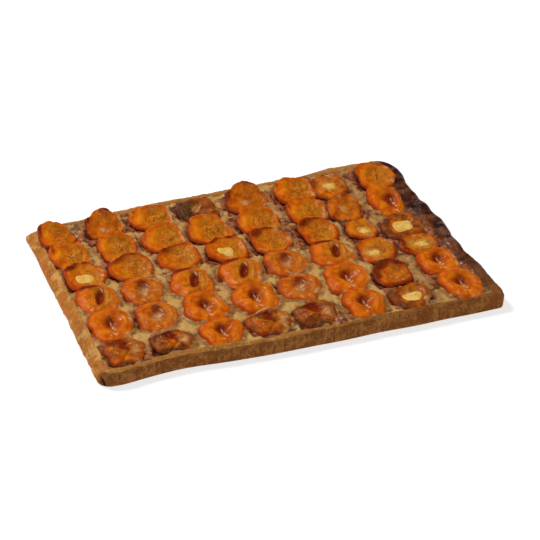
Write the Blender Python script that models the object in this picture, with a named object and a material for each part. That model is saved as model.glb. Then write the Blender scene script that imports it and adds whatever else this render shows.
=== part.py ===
"""Apricot tart baked as one large sheet.

A thin rectangular pastry case holds a layer of custard. Eight columns of six apricot halves
stand in the custard, leaning towards the near side, and eight of them hold a pool of custard
where the stone was. All sizes are in millimetres until a mesh is made, which turns them into
metres. X runs along the long side, Y away from the near side, Z up, with the underside at 0.
"""
import math

import bmesh
import bpy
import numpy as np

MM = 0.001
SEED = 31

# Pastry case: the right end is a little deeper than the left end
HALF_WIDTH = 198.8
HALF_DEPTH_LEFT = 134.5
HALF_DEPTH_RIGHT = 141.0
FLOOR_TOP = 5.0
CREST_HEIGHT = 18.0
LEFT_CREST_HEIGHT = 15.9
RIGHT_CREST_HEIGHT = 16.8
LEFT, FRONT, RIGHT, BACK = range(4)
CORNER_RADII = (4.0, 11.0, 4.5, 18.0)
SIDE_POINTS = (20, 30, 20, 30)
CORNER_POINTS = 4

# How far each ring of the case lies inside the outer edge at the left, front, right, back
FOOT = (1.6, 0.6, 0.4, 1.0)
WALL = (0.2, 0.0, 0.0, 0.0)
LIP = (0.0, 0.2, 0.2, 0.2)
CREST = (8.0, 1.8, 4.0, 3.0)
BRIM = (8.9, 3.6, 9.0, 7.0)
FILL_LINE = (10.2, 5.6, 12.5, 10.0)
FLOOR_EDGE = (12.2, 8.0, 15.0, 12.5)
WALL_HEIGHT = 3.0
LIP_HEIGHT = 15.2
RIGHT_LIP_HEIGHT = 12.5
LEFT_LIP_BACK = 5.0
LEFT_LIP_FRONT = 9.0
FILL_LINE_HEIGHT = 13.5
BRIM_DROP = 0.6
LEFT_RISE_AT_BACK = 50.0
LEFT_RISE_AT_FRONT = 14.0

# Waves of the hand-pressed edge, as whole cycles round the case
WAVE_CYCLES = (7, 13, 22)
WAVE_SHARES = (0.45, 0.35, 0.3)
SIDE_WAVE = (0.5, 0.6, 0.9, 0.8)
CREST_WAVE = 1.1

# Bulges and dents of the edge: side, place along it, reach outwards, half width
EDGE_BUMPS = (
    (FRONT, -178.0, 1.5, 14.0),
    (FRONT, -118.0, -4.2, 45.0),
    (FRONT, 20.0, 1.3, 50.0),
    (FRONT, 108.0, 1.2, 26.0),
    (RIGHT, 114.0, 2.4, 24.0),
    (RIGHT, 70.0, 0.8, 16.0),
    (RIGHT, 8.0, 3.0, 12.0),
    (RIGHT, -40.0, -1.0, 20.0),
    (RIGHT, -100.0, 2.2, 30.0),
    (BACK, 140.0, 3.6, 24.0),
    (BACK, 93.0, -2.0, 14.0),
    (BACK, -144.0, -1.6, 20.0),
)

# Custard and the clearance between touching pieces
GAP = 0.35
CUSTARD_TOP = 15.2

# Apricot halves: columns run from left to right, rows from the back to the near side
COLUMN_X = (-172.0, -124.0, -77.0, -28.5, 21.5, 72.0, 113.5, 161.0)
COLUMN_LEAN = (0.0, 0.0, 0.0, 0.02, 0.045, 0.075, 0.01, 0.02)
ROW_Y = (111.0, 68.0, 25.0, -20.0, -67.0, -112.0)
ROW_TILT = (17.0, 18.0, 15.0, 10.0, 8.0, 7.0)
ROW_LIFT = (7.2, 7.2, 6.6, 6.2, 6.0, 5.6)
HALF_LENGTH_X = 21.8
HALF_LENGTH_Y = 23.5
NEIGHBOUR_REACH = 75.0

# Halves that sit off the regular planting, as (column, row): (x, y)
NUDGE = {
    (1, 3): (3.0, 0.0),
    (3, 3): (4.0, 2.0),
    (7, 1): (2.0, -7.0),
    (7, 2): (3.0, -9.0),
    (7, 3): (-1.0, -6.0),
    (7, 4): (0.0, -11.0),
    (7, 5): (-3.0, -6.0),
    (7, 6): (0.0, -6.0),
    (8, 1): (6.0, -2.0),
    (8, 2): (-4.0, -11.0),
    (8, 3): (-5.0, -21.0),
    (8, 4): (-3.0, -14.0),
    (8, 5): (0.0, -4.0),
    (8, 6): (4.0, -3.0),
}

# What each half looks like, one word a column, from the back row to the near row
PLANTING = (
    "cup tall cup sunk tall cup pooled cup",
    "cup cup cup cup cup cup pale ring",
    "well cup cup well cup cup pooled pooled",
    "dome milky dome dome milky dome pooled pooled",
    "ring milky ring ring milky ring pale ring",
    "small small ring small small ring pooled ring",
)

# Forms of the halves. Lean and lift scale the row's tilt and height. Heights are from the
# plane of the cut. The hole of the stone is a share of the half, across and along.
KINDS = {
    "cup": dict(size=1.0, lean=1.0, lift=1.0, rim=0.0, flesh=-3.2, lip=-4.8, pit=-6.2, hole=(0.30, 0.34)),
    "tall": dict(size=0.98, lean=1.6, lift=1.2, rim=0.0, flesh=-2.6, lip=-4.0, pit=-5.2, hole=(0.32, 0.34)),
    "pale": dict(size=0.98, lean=1.0, lift=0.9, rim=0.0, flesh=-2.4, lip=-3.6, pit=-4.8, hole=(0.32, 0.34)),
    "well": dict(size=1.0, lean=1.0, lift=1.0, rim=0.0, flesh=-2.2, lip=-3.2, pit=-5.4, hole=(0.50, 0.36)),
    "dome": dict(size=1.0, lean=1.0, lift=1.05, rim=-1.4, flesh=0.8, lip=0.7, pit=-4.4, hole=(0.20, 0.44)),
    "milky": dict(size=1.0, lean=1.0, lift=0.9, rim=-0.8, flesh=0.2, lip=-0.6, pit=-3.0, hole=(0.28, 0.30)),
    "ring": dict(size=1.0, lean=1.0, lift=1.05, rim=-0.9, flesh=0.7, lip=0.0, pit=-4.8, hole=(0.26, 0.30)),
    "small": dict(size=0.86, lean=1.0, lift=0.75, rim=-0.6, flesh=0.2, lip=-0.8, pit=-2.4, hole=(0.30, 0.34)),
    "sunk": dict(size=0.84, lean=0.6, lift=0.45, rim=-0.4, flesh=0.2, lip=-0.5, pit=-1.2, hole=(0.30, 0.34)),
    "pooled": dict(size=1.0, lean=0.8, lift=0.8, rim=0.0, flesh=-0.8, lip=-1.2, pit=-3.0, hole=(0.50, 0.42)),
}
HALF_ANGLES = 14
FLESH_AT = 0.64
RIM_AT = 0.90
BASE_AT = 0.93
BASE_TUCK = 0.014
SIDE_DROP = 3.2
LOWEST_RIM = 3.2
LOWEST_SIDE = 1.7
LOWEST_FLESH = 2.2
LOWEST_PIT = 1.3
PRESS_SHARPNESS = 20.0
POOL_SHARE = 0.86
POOL_EDGE = 0.7
POOL_FILL = 0.6

# Surface colours as seen, red, green and blue out of 255, and roughness
FINISHES = {
    "baked_pastry": ((176, 120, 58), 0.75),
    "baked_custard": ((190, 158, 96), 0.45),
    "apricot": ((205, 100, 22), 0.3),
    "browned_apricot": ((138, 70, 22), 0.35),
    "custard_pool": ((214, 174, 96), 0.35),
}
BROWNED_KINDS = ("small", "sunk", "pooled")


def smooth_step(value):
    """Rise smoothly from 0 to 1 as value goes from 0 to 1."""
    t = np.clip(value, 0.0, 1.0)
    return t * t * (3.0 - 2.0 * t)


def finish_material(name):
    """A Principled material in the named finish, made once and then shared."""
    if name in bpy.data.materials:
        return bpy.data.materials[name]
    seen, roughness = FINISHES[name]
    linear = [((c / 255.0 + 0.055) / 1.055) ** 2.4 for c in seen]
    material = bpy.data.materials.new(name)
    material.use_nodes = True
    shader = material.node_tree.nodes["Principled BSDF"]
    shader.inputs["Base Color"].default_value = (*linear, 1.0)
    shader.inputs["Roughness"].default_value = roughness
    shader.inputs["Metallic"].default_value = 0.0
    material.diffuse_color = (*linear, 1.0)
    return material


def close_ring(mesh, loop, point):
    """Close a ring of vertices by one flat face, or by a fan that runs to the point."""
    if point is None:
        mesh.faces.new(loop)
        return
    tip = mesh.verts.new(point * MM)
    for i, vertex in enumerate(loop):
        mesh.faces.new((vertex, loop[(i + 1) % len(loop)], tip))


def skin_rings(name, rings, finish, top_point=None, under_point=None):
    """One closed body through closed rings of equal count, listed from the underside up."""
    mesh = bmesh.new()
    loops = [[mesh.verts.new(point * MM) for point in ring] for ring in rings]
    count = len(loops[0])
    for lower, upper in zip(loops, loops[1:]):
        for i in range(count):
            j = (i + 1) % count
            mesh.faces.new((lower[i], lower[j], upper[j], upper[i]))
    close_ring(mesh, loops[0][::-1], under_point)
    close_ring(mesh, loops[-1], top_point)
    bmesh.ops.triangulate(mesh, faces=mesh.faces[:], ngon_method="BEAUTY")
    data = bpy.data.meshes.new(name)
    mesh.to_mesh(data)
    mesh.free()
    data.materials.append(finish_material(finish))
    data.shade_smooth()
    data.set_sharp_from_angle(angle=math.radians(40.0))
    piece = bpy.data.objects.new(name, data)
    bpy.context.scene.collection.objects.link(piece)
    return piece


def half_depth(x):
    """Half the depth of the case at x, which grows evenly from the left end to the right."""
    share = (x + HALF_WIDTH) / (2.0 * HALF_WIDTH)
    return HALF_DEPTH_LEFT + (HALF_DEPTH_RIGHT - HALF_DEPTH_LEFT) * share


def case_outline(inset):
    """Points, outward directions and side numbers of a ring that lies inset within the edge.

    The ring is a rectangle with rounded corners. It starts at the back left corner and runs
    round by the left, front, right and back sides. Corners are arcs, and sides even steps.
    """
    arcs = []
    signs = ((-1, 1), (-1, -1), (1, -1), (1, 1))
    for k, (sx, sy) in enumerate(signs):
        side_x = inset[0] if sx < 0 else inset[2]
        side_y = inset[1] if sy < 0 else inset[3]
        corner_x = sx * (HALF_WIDTH - side_x)
        corner_y = sy * (half_depth(corner_x) - side_y)
        radius = max(CORNER_RADII[k] - min(side_x, side_y), 1.5)
        turn = np.radians(90.0 * (k + 1) + np.linspace(0.0, 90.0, CORNER_POINTS))
        direction = np.stack([np.cos(turn), np.sin(turn)], axis=1)
        centre = np.array([corner_x - sx * radius, corner_y - sy * radius])
        arcs.append((centre + radius * direction, direction))
    points, normals, sides = [], [], []
    for k in range(4):
        arc, direction = arcs[k]
        following = arcs[(k + 1) % 4][0]
        steps = np.linspace(0.0, 1.0, SIDE_POINTS[k] + 2)[1:-1, None]
        run = arc[-1] + (following[0] - arc[-1]) * steps
        points += [arc, run]
        normals += [direction, np.repeat(direction[-1:], len(run), axis=0)]
        blend = np.linspace(0.0, 1.0, CORNER_POINTS)
        sides += [(k - 1) % 4 + blend, np.full(len(run), float(k))]
    return np.concatenate(points), np.concatenate(normals), np.concatenate(sides)


def by_side(values, sides):
    """The value of each ring point, blended round the corners from side to side."""
    return np.interp(sides % 4.0, np.arange(5.0), (*values, values[0]))


def edge_wave(count, seed):
    """A closed wave round the case of about unit height: a sum of whole-cycle sines."""
    draw = np.random.default_rng(seed)
    along = np.arange(count) / count
    wave = np.zeros(count)
    for cycles, share in zip(WAVE_CYCLES, WAVE_SHARES):
        wave += share * np.sin(2.0 * np.pi * (cycles * along + draw.random()))
    return wave


def edge_bump(side, place):
    """How far the given side bulges out at each place along it: a sum of bell curves."""
    reach = np.zeros(np.shape(place))
    for bumped, middle, out, half_width in EDGE_BUMPS:
        if bumped == side:
            reach = reach + out * np.exp(-(((place - middle) / half_width) ** 2))
    return reach


def case_ring(inset, height, wave_share=1.0):
    """A ring of the case or of the custard with its waves and bumps, as points with heights.

    The bumps of the near side reach through all rings, so its thin wall keeps its width.
    """
    points, normals, sides = case_outline(inset)
    reach = by_side(SIDE_WAVE, sides) * edge_wave(len(points), SEED) * wave_share
    for side in range(4):
        along = points[:, 0] if side in (FRONT, BACK) else points[:, 1]
        share = np.maximum(1.0 - np.abs((sides - side + 2.0) % 4.0 - 2.0), 0.0)
        kept = 1.0 if side == FRONT else wave_share
        reach = reach + share * kept * edge_bump(side, along)
    moved = points + normals * reach[:, None]
    levels = height(moved, sides) if callable(height) else np.full(len(points), height)
    return np.column_stack([moved, levels])


def left_share(points):
    """1 along the low left border, fading to 0 where the rim has risen to full height."""
    inwards = points[:, 0] + HALF_WIDTH
    reach = np.where(points[:, 1] > 0.0, LEFT_RISE_AT_BACK, LEFT_RISE_AT_FRONT)
    from_front = points[:, 1] + half_depth(points[:, 0])
    return (1.0 - smooth_step(inwards / reach)) * smooth_step(from_front / LEFT_RISE_AT_FRONT)


def lip_level(points, sides):
    """Height of the outer lip: low on the left border and a little lower on the right."""
    usual = by_side((LIP_HEIGHT, LIP_HEIGHT, RIGHT_LIP_HEIGHT, LIP_HEIGHT), sides)
    towards_back = smooth_step(points[:, 1] / (2.0 * HALF_DEPTH_LEFT) + 0.5)
    low = LEFT_LIP_FRONT + (LEFT_LIP_BACK - LEFT_LIP_FRONT) * towards_back
    return usual + (low - usual) * left_share(points)


def crest_level(points, sides):
    """Height of the top of the rim, with its own slow wave."""
    usual = by_side((CREST_HEIGHT, CREST_HEIGHT, RIGHT_CREST_HEIGHT, CREST_HEIGHT), sides)
    usual = usual + CREST_WAVE * edge_wave(len(points), SEED + 1)
    return usual + (LEFT_CREST_HEIGHT - usual) * left_share(points)


def brim_level(points, sides):
    """Height of the inner edge of the rim's top."""
    return crest_level(points, sides) - BRIM_DROP


def shifted(inset, amount):
    """The inset of each side with the same amount added."""
    return tuple(value + amount for value in inset)


def make_case():
    """The pastry case: flat underside, upright wall, rounded rim and a thin floor."""
    rings = [
        case_ring(FOOT, 0.0),
        case_ring(WALL, WALL_HEIGHT),
        case_ring(LIP, lip_level),
        case_ring(CREST, crest_level, 0.7),
        case_ring(BRIM, brim_level, 0.5),
        case_ring(FILL_LINE, FILL_LINE_HEIGHT, 0.25),
        case_ring(FLOOR_EDGE, FLOOR_TOP, 0.25),
    ]
    return skin_rings("crust", rings, "baked_pastry")


def make_custard():
    """The custard layer: it fills the case up to its level, just clear of the pastry."""
    rings = [
        case_ring(shifted(FLOOR_EDGE, GAP + 0.15), FLOOR_TOP + GAP, 0.25),
        case_ring(shifted(FILL_LINE, GAP + 0.1), FILL_LINE_HEIGHT + 0.1, 0.25),
        case_ring(shifted(FILL_LINE, -0.1), CUSTARD_TOP, 0.25),
    ]
    return skin_rings("custard", rings, "baked_custard")


def plan_halves():
    """Kind, place, tilt and seed of every apricot half, keyed by (column, row)."""
    halves = {}
    for r, words in enumerate(PLANTING):
        for c, kind in enumerate(words.split()):
            key = (c + 1, r + 1)
            draw = np.random.default_rng(SEED * 100 + 10 * c + r)
            nudge = NUDGE.get(key, (0.0, 0.0))
            y = ROW_Y[r] + nudge[1]
            x = COLUMN_X[c] + COLUMN_LEAN[c] * y + nudge[0]
            halves[key] = dict(
                kind=kind,
                centre=np.array([x, y]),
                tilt=math.radians(ROW_TILT[r] * KINDS[kind]["lean"] + draw.uniform(-1.5, 1.5)),
                roll=math.radians(draw.uniform(-4.0, 4.0)),
                lift=ROW_LIFT[r] + draw.uniform(-0.4, 0.4),
                size=draw.uniform(0.97, 1.03),
                phase=draw.uniform(0.0, 2.0 * math.pi, 2),
            )
    return halves


def half_outline(key, halves, angles):
    """Reach of one half in each direction: an uneven oval, pressed flat against neighbours.

    An ellipse with three and five slow lobes is cut at the line midway to each neighbour,
    less half of the clearance, and at the brim of the case. The cuts are blended into the
    oval by adding the inverse reaches, each raised to a high power.
    """
    half = halves[key]
    size = half["size"] * KINDS[half["kind"]]["size"]
    across = np.cos(angles) / (HALF_LENGTH_X * size)
    along = np.sin(angles) / (HALF_LENGTH_Y * size)
    reach = 1.0 / np.hypot(across, along)
    reach *= 1.0 + 0.03 * np.sin(3.0 * angles + half["phase"][0])
    reach *= 1.0 + 0.015 * np.sin(5.0 * angles + half["phase"][1])
    limits = []
    for other, neighbour in halves.items():
        away = neighbour["centre"] - half["centre"]
        distance = math.hypot(*away)
        if other != key and distance < NEIGHBOUR_REACH:
            limits.append((math.atan2(away[1], away[0]), distance / 2.0 - GAP / 2.0))
    x, y = half["centre"]
    edge = half_depth(x)
    limits.append((math.pi, x + HALF_WIDTH - FILL_LINE[0] - 1.0))
    limits.append((0.0, HALF_WIDTH - FILL_LINE[2] - 1.0 - x))
    limits.append((-math.pi / 2.0, y + edge - FILL_LINE[1] - 1.0 + float(edge_bump(FRONT, x))))
    limits.append((math.pi / 2.0, edge - FILL_LINE[3] - 1.0 - y))
    inverse = reach**-PRESS_SHARPNESS
    for heading, distance in limits:
        facing = np.maximum(np.cos(angles - heading), 0.02)
        inverse += (facing / distance) ** PRESS_SHARPNESS
    return inverse ** (-1.0 / PRESS_SHARPNESS)


def half_ring(half, reach, angles, share, offset, lowest, level=None):
    """One ring of a half at a share of its reach, in three dimensions.

    Its height is the tilted plane of the cut plus offset, kept above lowest. A given level
    replaces the plane.
    """
    x = reach * share * np.cos(angles)
    y = reach * share * np.sin(angles)
    if level is None:
        lift = half["lift"] * KINDS[half["kind"]]["lift"]
        plane = lift + math.tan(half["tilt"]) * y + math.tan(half["roll"]) * x
        level = np.maximum(plane + offset, lowest)
    cx, cy = half["centre"]
    return np.column_stack([cx + x, cy + y, CUSTARD_TOP + level])


def make_half(key, halves):
    """One apricot half as it stands out of the custard, and its pit for a pool.

    From the base ring the skin bulges out to the side ring, turns in over the rim to the
    cut flesh, and drops into the hollow of the stone. Returns the pit ring and its lowest
    point.
    """
    half = halves[key]
    kind = KINDS[half["kind"]]
    angles = np.arange(HALF_ANGLES) * 2.0 * np.pi / HALF_ANGLES + 0.11 * key[0]
    reach = half_outline(key, halves, angles)
    side = half_ring(half, reach, angles, 1.0, kind["rim"] - SIDE_DROP, LOWEST_SIDE)
    tuck = BASE_AT - BASE_TUCK * (side[:, 2] - CUSTARD_TOP)
    base = half_ring(half, reach, angles, tuck, 0.0, 0.0, level=np.full(HALF_ANGLES, GAP))
    rim = half_ring(half, reach, angles, RIM_AT, kind["rim"], LOWEST_RIM)
    flesh = half_ring(half, reach, angles, FLESH_AT, kind["flesh"], LOWEST_FLESH)
    hole_x, hole_y = kind["hole"]
    pit_share = 1.0 / np.hypot(np.cos(angles) / hole_x, np.sin(angles) / hole_y)
    lip = half_ring(half, reach, angles, pit_share, kind["lip"], LOWEST_FLESH - 0.3)
    tip = half_ring(half, np.zeros(1), np.zeros(1), 0.0, kind["pit"], LOWEST_PIT)[0]
    finish = "browned_apricot" if half["kind"] in BROWNED_KINDS else "apricot"
    name = f"apricot_c{key[0]}_r{key[1]}"
    skin_rings(name, [base, side, rim, flesh, lip], finish, tip)
    return lip, tip


def make_pool(key, lip, tip):
    """Custard pooled in a half: its underside runs parallel to the pit, its top is fuller."""
    clear = np.array([0.0, 0.0, GAP])
    depth = float(np.mean(lip[:, 2])) - tip[2]
    under = tip + clear
    lower = tip + (lip - tip) * POOL_SHARE + clear
    upper = lower + np.array([0.0, 0.0, POOL_EDGE])
    crown = under + np.array([0.0, 0.0, POOL_EDGE + POOL_FILL * depth])
    name = f"pool_c{key[0]}_r{key[1]}"
    skin_rings(name, [lower, upper], "custard_pool", crown, under)


def centre_on_origin(pieces, case):
    """Move every mesh so that the middle of the case's box stands over the origin."""
    corners = np.array([vertex.co[:2] for vertex in case.data.vertices])
    middle = (corners.min(axis=0) + corners.max(axis=0)) / 2.0
    for piece in pieces:
        for vertex in piece.data.vertices:
            vertex.co.x -= middle[0]
            vertex.co.y -= middle[1]


def main():
    for old in list(bpy.data.objects):
        bpy.data.objects.remove(old)
    case = make_case()
    make_custard()
    halves = plan_halves()
    for key, half in halves.items():
        lip, tip = make_half(key, halves)
        if half["kind"] in ("pooled", "well"):
            make_pool(key, lip, tip)
    centre_on_origin(list(bpy.context.scene.collection.objects), case)


main()
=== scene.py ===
"""Looks of a large apricot tart: baked pastry case, custard, and glazed apricot halves.

Every size is in millimetres until a mesh is made. The case is a profile carried round the
edge, the custard a height field, and each half a dish worked out on rings and angles.
"""
import math

import bpy
import numpy as np
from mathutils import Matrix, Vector


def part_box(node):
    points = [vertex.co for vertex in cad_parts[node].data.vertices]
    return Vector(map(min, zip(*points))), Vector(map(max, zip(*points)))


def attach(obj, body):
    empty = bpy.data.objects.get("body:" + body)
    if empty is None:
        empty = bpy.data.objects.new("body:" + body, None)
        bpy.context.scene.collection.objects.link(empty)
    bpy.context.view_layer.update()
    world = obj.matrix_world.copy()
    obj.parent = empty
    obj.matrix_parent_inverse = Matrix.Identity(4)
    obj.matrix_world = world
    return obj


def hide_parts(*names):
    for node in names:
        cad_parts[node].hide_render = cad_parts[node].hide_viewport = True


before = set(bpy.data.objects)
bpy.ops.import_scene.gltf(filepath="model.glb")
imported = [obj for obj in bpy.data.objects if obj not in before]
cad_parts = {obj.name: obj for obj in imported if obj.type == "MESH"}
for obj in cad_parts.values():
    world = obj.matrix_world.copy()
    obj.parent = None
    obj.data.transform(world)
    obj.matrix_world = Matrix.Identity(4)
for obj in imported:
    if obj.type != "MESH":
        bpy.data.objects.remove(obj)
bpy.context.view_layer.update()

MM = 0.001
SEED = 31
LEFT, FRONT, RIGHT, BACK = range(4)

# Pastry case, as in the solid
HALF_WIDTH = 198.8
HALF_DEPTH_LEFT = 134.5
HALF_DEPTH_RIGHT = 141.0
CORNER_RADII = (4.0, 11.0, 4.5, 18.0)
SIDE_STATIONS = (21, 31, 21, 31)
CORNER_STATIONS = 3
STEPS_PER_STATION = 12
CURVE_STEPS = (8, 7, 8, 12, 18, 6)
FOOT = (1.6, 0.6, 0.4, 1.0)
WALL = (0.2, 0.0, 0.0, 0.0)
LIP = (0.0, 0.2, 0.2, 0.2)
CREST = (8.0, 1.8, 4.0, 3.0)
BRIM = (8.9, 3.6, 9.0, 7.0)
FILL_LINE = (10.2, 5.6, 12.5, 10.0)
FLOOR_EDGE = (12.2, 8.0, 15.0, 12.5)
FLOOR_TOP = 5.0
WALL_HEIGHT = 3.0
LIP_HEIGHT = 15.2
RIGHT_LIP_HEIGHT = 12.5
LEFT_LIP_BACK = 8.5
LEFT_LIP_FRONT = 9.0
CREST_HEIGHT = 18.0
LEFT_CREST_HEIGHT = 15.9
RIGHT_CREST_HEIGHT = 16.8
FILL_LINE_HEIGHT = 13.5
BRIM_DROP = 0.6
LEFT_RISE_AT_BACK = 95.0
LEFT_RISE_AT_FRONT = 14.0
WAVE_CYCLES = (7, 13, 22)
WAVE_SHARES = (0.45, 0.35, 0.3)
SIDE_WAVE = (0.5, 0.6, 0.9, 0.8)
CREST_WAVE = 1.1
CORNER_DIP = 3.0
EDGE_BUMPS = (
    (FRONT, -178.0, 1.5, 14.0),
    (FRONT, -118.0, -4.2, 45.0),
    (FRONT, 20.0, 1.3, 50.0),
    (FRONT, 108.0, 1.2, 26.0),
    (RIGHT, 112.0, 4.4, 20.0),
    (RIGHT, 70.0, 0.8, 16.0),
    (RIGHT, 8.0, 3.0, 12.0),
    (RIGHT, -40.0, -1.0, 20.0),
    (RIGHT, -100.0, 2.2, 30.0),
    (BACK, 140.0, 3.6, 24.0),
    (BACK, 93.0, -2.0, 14.0),
    (BACK, -144.0, -1.6, 20.0),
)

# Its baked surface
BLISTER_HEIGHT = 0.6
CRACK_DEPTH = 2.0
CRACK_HEADING = -126.0
BORDER_WIDTH = 14.0
BURNT_FROM = 181.0
BURNT_WANDER = 7.0
BURNT_BULGE = 11.0
BURNT_BULGE_AT = 48.0

# Custard
CUSTARD_TOP = 15.2
CUSTARD_STEP = 1.1
CUSTARD_TUCK = 1.6
CUSTARD_UNDERSIDE = 6.0
CUSTARD_SWELL = 1.1
CUSTARD_CLIMB = 1.9
PUFF_HEIGHT = 1.2
WET_DIP = 1.4
DIP_UNDER_FRUIT = 5.0
GAP_FROM_EDGE = 6.5
GAP_DEPTH = 1.5

# Apricot halves, by row from the back to the near side
ROW_TILT = (16.0, 15.0, 10.5, 9.0, 8.0, 7.0)
ROW_LIFT = (6.6, 5.6, 5.6, 5.6, 5.6, 5.2)
ROW_NEARER = (2.0, 5.0, 2.0, 0.0, 0.0, 0.0)
PLANTING = (
    "peak tall cup sunk tall cup hazy corner",
    "cup cup cup cup cup cup pale curl",
    "well oval oval well oval oval slipped pooled",
    "dome milky dome dome milky dome glazed misty",
    "ring milky ring ring milky ring dark ring",
    "small dull notch small dull notch pooled ring",
)
POOL_ANGLES = 96
POOL_RINGS = 22
POOL_SQUARENESS = 3.4
POOL_RISE = 0.7
POOL_DIP = 2.2
HALF_ANGLES = 120
HOLE_RINGS = 14
FLESH_RINGS = 26
SKIN_RINGS = 18
LOWEST_RIM = 1.5
SUNK_BELOW = 3.0
FAT_LIP = 0.6
CUPPED_BELOW = -2.0
ROUGH_LUMPS = 0.8
SMOOTH_LUMPS = 0.35
HALF_SQUARENESS = 2.3
LOBES = (2, 3, 5, 9)
LOBE_SHARES = (0.03, 0.05, 0.035, 0.014)
COLUMN_GROWTH = (1.0, 0.98, 0.98, 1.0, 0.98, 0.98, 0.92, 0.93)
# Moves to the right and away as seen, and growth to the right and away, by column and row
NUDGES = {
    (1, 1): (-3.5, -2.0, 1.08, 1.08),
    (2, 1): (0.0, -0.5, 1.01, 1.0),
    (3, 1): (2.5, -2.0, 1.1, 1.05),
    (4, 1): (1.5, -1.0, 1.0, 1.0),
    (5, 1): (-1.0, 0.0, 1.05, 1.0),
    (6, 1): (1.5, -1.0, 1.1, 1.05),
    (8, 1): (3.5, -1.0, 1.06, 1.02),
    (1, 2): (-1.5, 0.0, 1.06, 1.08),
    (2, 2): (0.5, 0.0, 0.96, 1.0),
    (3, 2): (2.2, 0.0, 1.02, 1.06),
    (6, 2): (1.5, 0.0, 1.06, 1.08),
    (8, 2): (1.2, 3.0, 0.84, 1.04),
    (1, 3): (0.0, 0.5, 1.0, 0.96),
    (2, 3): (2.2, 0.0, 1.0, 0.95),
    (3, 3): (1.0, 0.0, 1.0, 0.96),
    (4, 3): (4.5, 0.0, 1.0, 0.96),
    (7, 3): (3.0, -1.0, 0.8, 0.82),
    (3, 4): (1.5, -1.5, 0.93, 1.0),
    (4, 4): (3.4, -1.5, 0.92, 1.0),
    (1, 5): (0.0, 0.0, 1.04, 1.04),
    (3, 5): (0.5, 0.0, 0.98, 1.05),
    (4, 5): (2.6, 0.0, 0.94, 1.04),
    (8, 5): (0.0, 4.0, 0.95, 1.12),
    (1, 6): (1.0, 1.6, 1.12, 0.94),
    (2, 6): (1.5, 0.8, 1.14, 0.98),
    (3, 6): (2.0, -2.0, 0.9, 1.06),
    (4, 6): (1.5, 1.6, 1.08, 0.94),
    (5, 6): (0.5, 0.8, 1.12, 0.98),
    (6, 6): (2.0, -1.0, 0.9, 1.04),
    (8, 6): (2.2, 1.0, 0.96, 1.2),
}
NEIGHBOUR_OVERLAP = 1.6
NEIGHBOUR_RANGE = 75.0
PRESS_SHARPNESS = 14.0
STAIN_HEADING = math.radians(200.0)
STAND_ASIDE = math.radians(20.4)
SEEN_RIGHT = np.array([math.cos(STAND_ASIDE), -math.sin(STAND_ASIDE)])
SEEN_AWAY = np.array([math.sin(STAND_ASIDE), math.cos(STAND_ASIDE)])

# Forms: growth scales the half, rim_at is where the rim starts, as a share of the reach, and
# drop how far it falls. Lean and lift scale the row's tilt and height. Rim, lip and pit are
# heights from the plane of the cut, crown the swelling between hole and rim, curve how late
# the cup turns up. Hole is the size and pit_at the place of the hollow, in half sizes.
# Looks: gold, red, milk, brown and juice are amounts, mostly from 0 to 1.
# Pool scales the custard in a half against its solid. Pool_at moves it right and away.
# Trims are a heading as seen, its spread in degrees, and the share cut off the outline.
# Spots are places and reaches to the right and away as the camera sees them, in half sizes,
# then a turn in degrees and an amount, which is millimetres for bumps. Dark spots redden the
# flesh: its own red, and painted shade at a hollow's upper left and on slopes turned from the
# lamp. Pale ones are a milky film, and painted highlights on the ridges of rings and domes.
# Char is burnt. Glow is painted light, flesh brightened where the lamp falls on lobes and
# facets, and glint a painted wet highlight.
CUP = dict(
    growth=1.02, rim_at=0.86, drop=3.2, lean=1.0, lift=1.0, rim=0.0, lip=-4.6, pit=-5.4, crown=0.0,
    curve=1.9, hole=(0.40, 0.30), pit_at=(0.24, 0.06), gold=0.9, red=0.3, milk=0.0, brown=0.0,
    juice=0.7, pool=1.18, pool_at=(0.0, -1.5), trims=((48, 24, 0.08),), pale=(), char=(), glint=(),
    bumps=((-0.55, -0.2, 0.22, 0.6, 0, 2.6), (0.82, 0.1, 0.22, 0.5, 10, -2.2),
        (0.35, 0.3, 0.5, 0.12, 50, 0.9), (0.1, -0.2, 0.12, 0.3, 30, 0.6)),
    dark=((-0.98, 0.35, 0.12, 0.5, 20, 0.7), (-0.1, 0.95, 0.5, 0.1, 0, 0.6)),
    glow=((-0.5, -0.1, 0.26, 0.6, -10, 1.0),),
)
RING = dict(
    growth=1.08, rim_at=0.78, drop=4.2, lean=1.0, lift=1.05, rim=-0.9, lip=-0.6, pit=-4.0, crown=0.9,
    curve=1.2, hole=(0.52, 0.46), pit_at=(0.06, 0.04), gold=0.2, red=0.15, milk=0.0, brown=0.0,
    juice=0.12, trims=(), char=(), glow=(),
    bumps=((0.34, -0.95, 0.1, 0.3, 20, -2.4), (-0.3, -0.5, 0.42, 0.3, -20, 1.3),
        (0.2, -0.3, 0.5, 0.09, -64, -1.5), (-0.1, 0.16, 0.2, 0.24, 0, -1.4),
        (0.6, 0.1, 0.3, 0.5, 0, 0.5)),
    # Dark at the hollow's upper left, along the groove and on the upper plane: painted shade.
    dark=((-0.08, 0.16, 0.26, 0.32, 20, 0.95), (0.12, -0.1, 0.36, 0.08, -62, 0.5),
        (0.1, 0.7, 0.9, 0.3, 0, 0.42)),
    # The pale streak along the groove is a painted highlight.
    pale=((0.06, 0.0, 0.3, 0.1, -62, 0.5),),
    glint=((-0.03, 0.2, 0.07, 0.03, -60, 1.2), (0.09, 0.0, 0.07, 0.05, -55, 1.7),
        (0.2, -0.18, 0.06, 0.055, -40, 1.6), (0.26, -0.6, 0.1, 0.045, -15, 1.4),
        (0.08, -0.72, 0.05, 0.04, 0, 1.0)),
)
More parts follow.
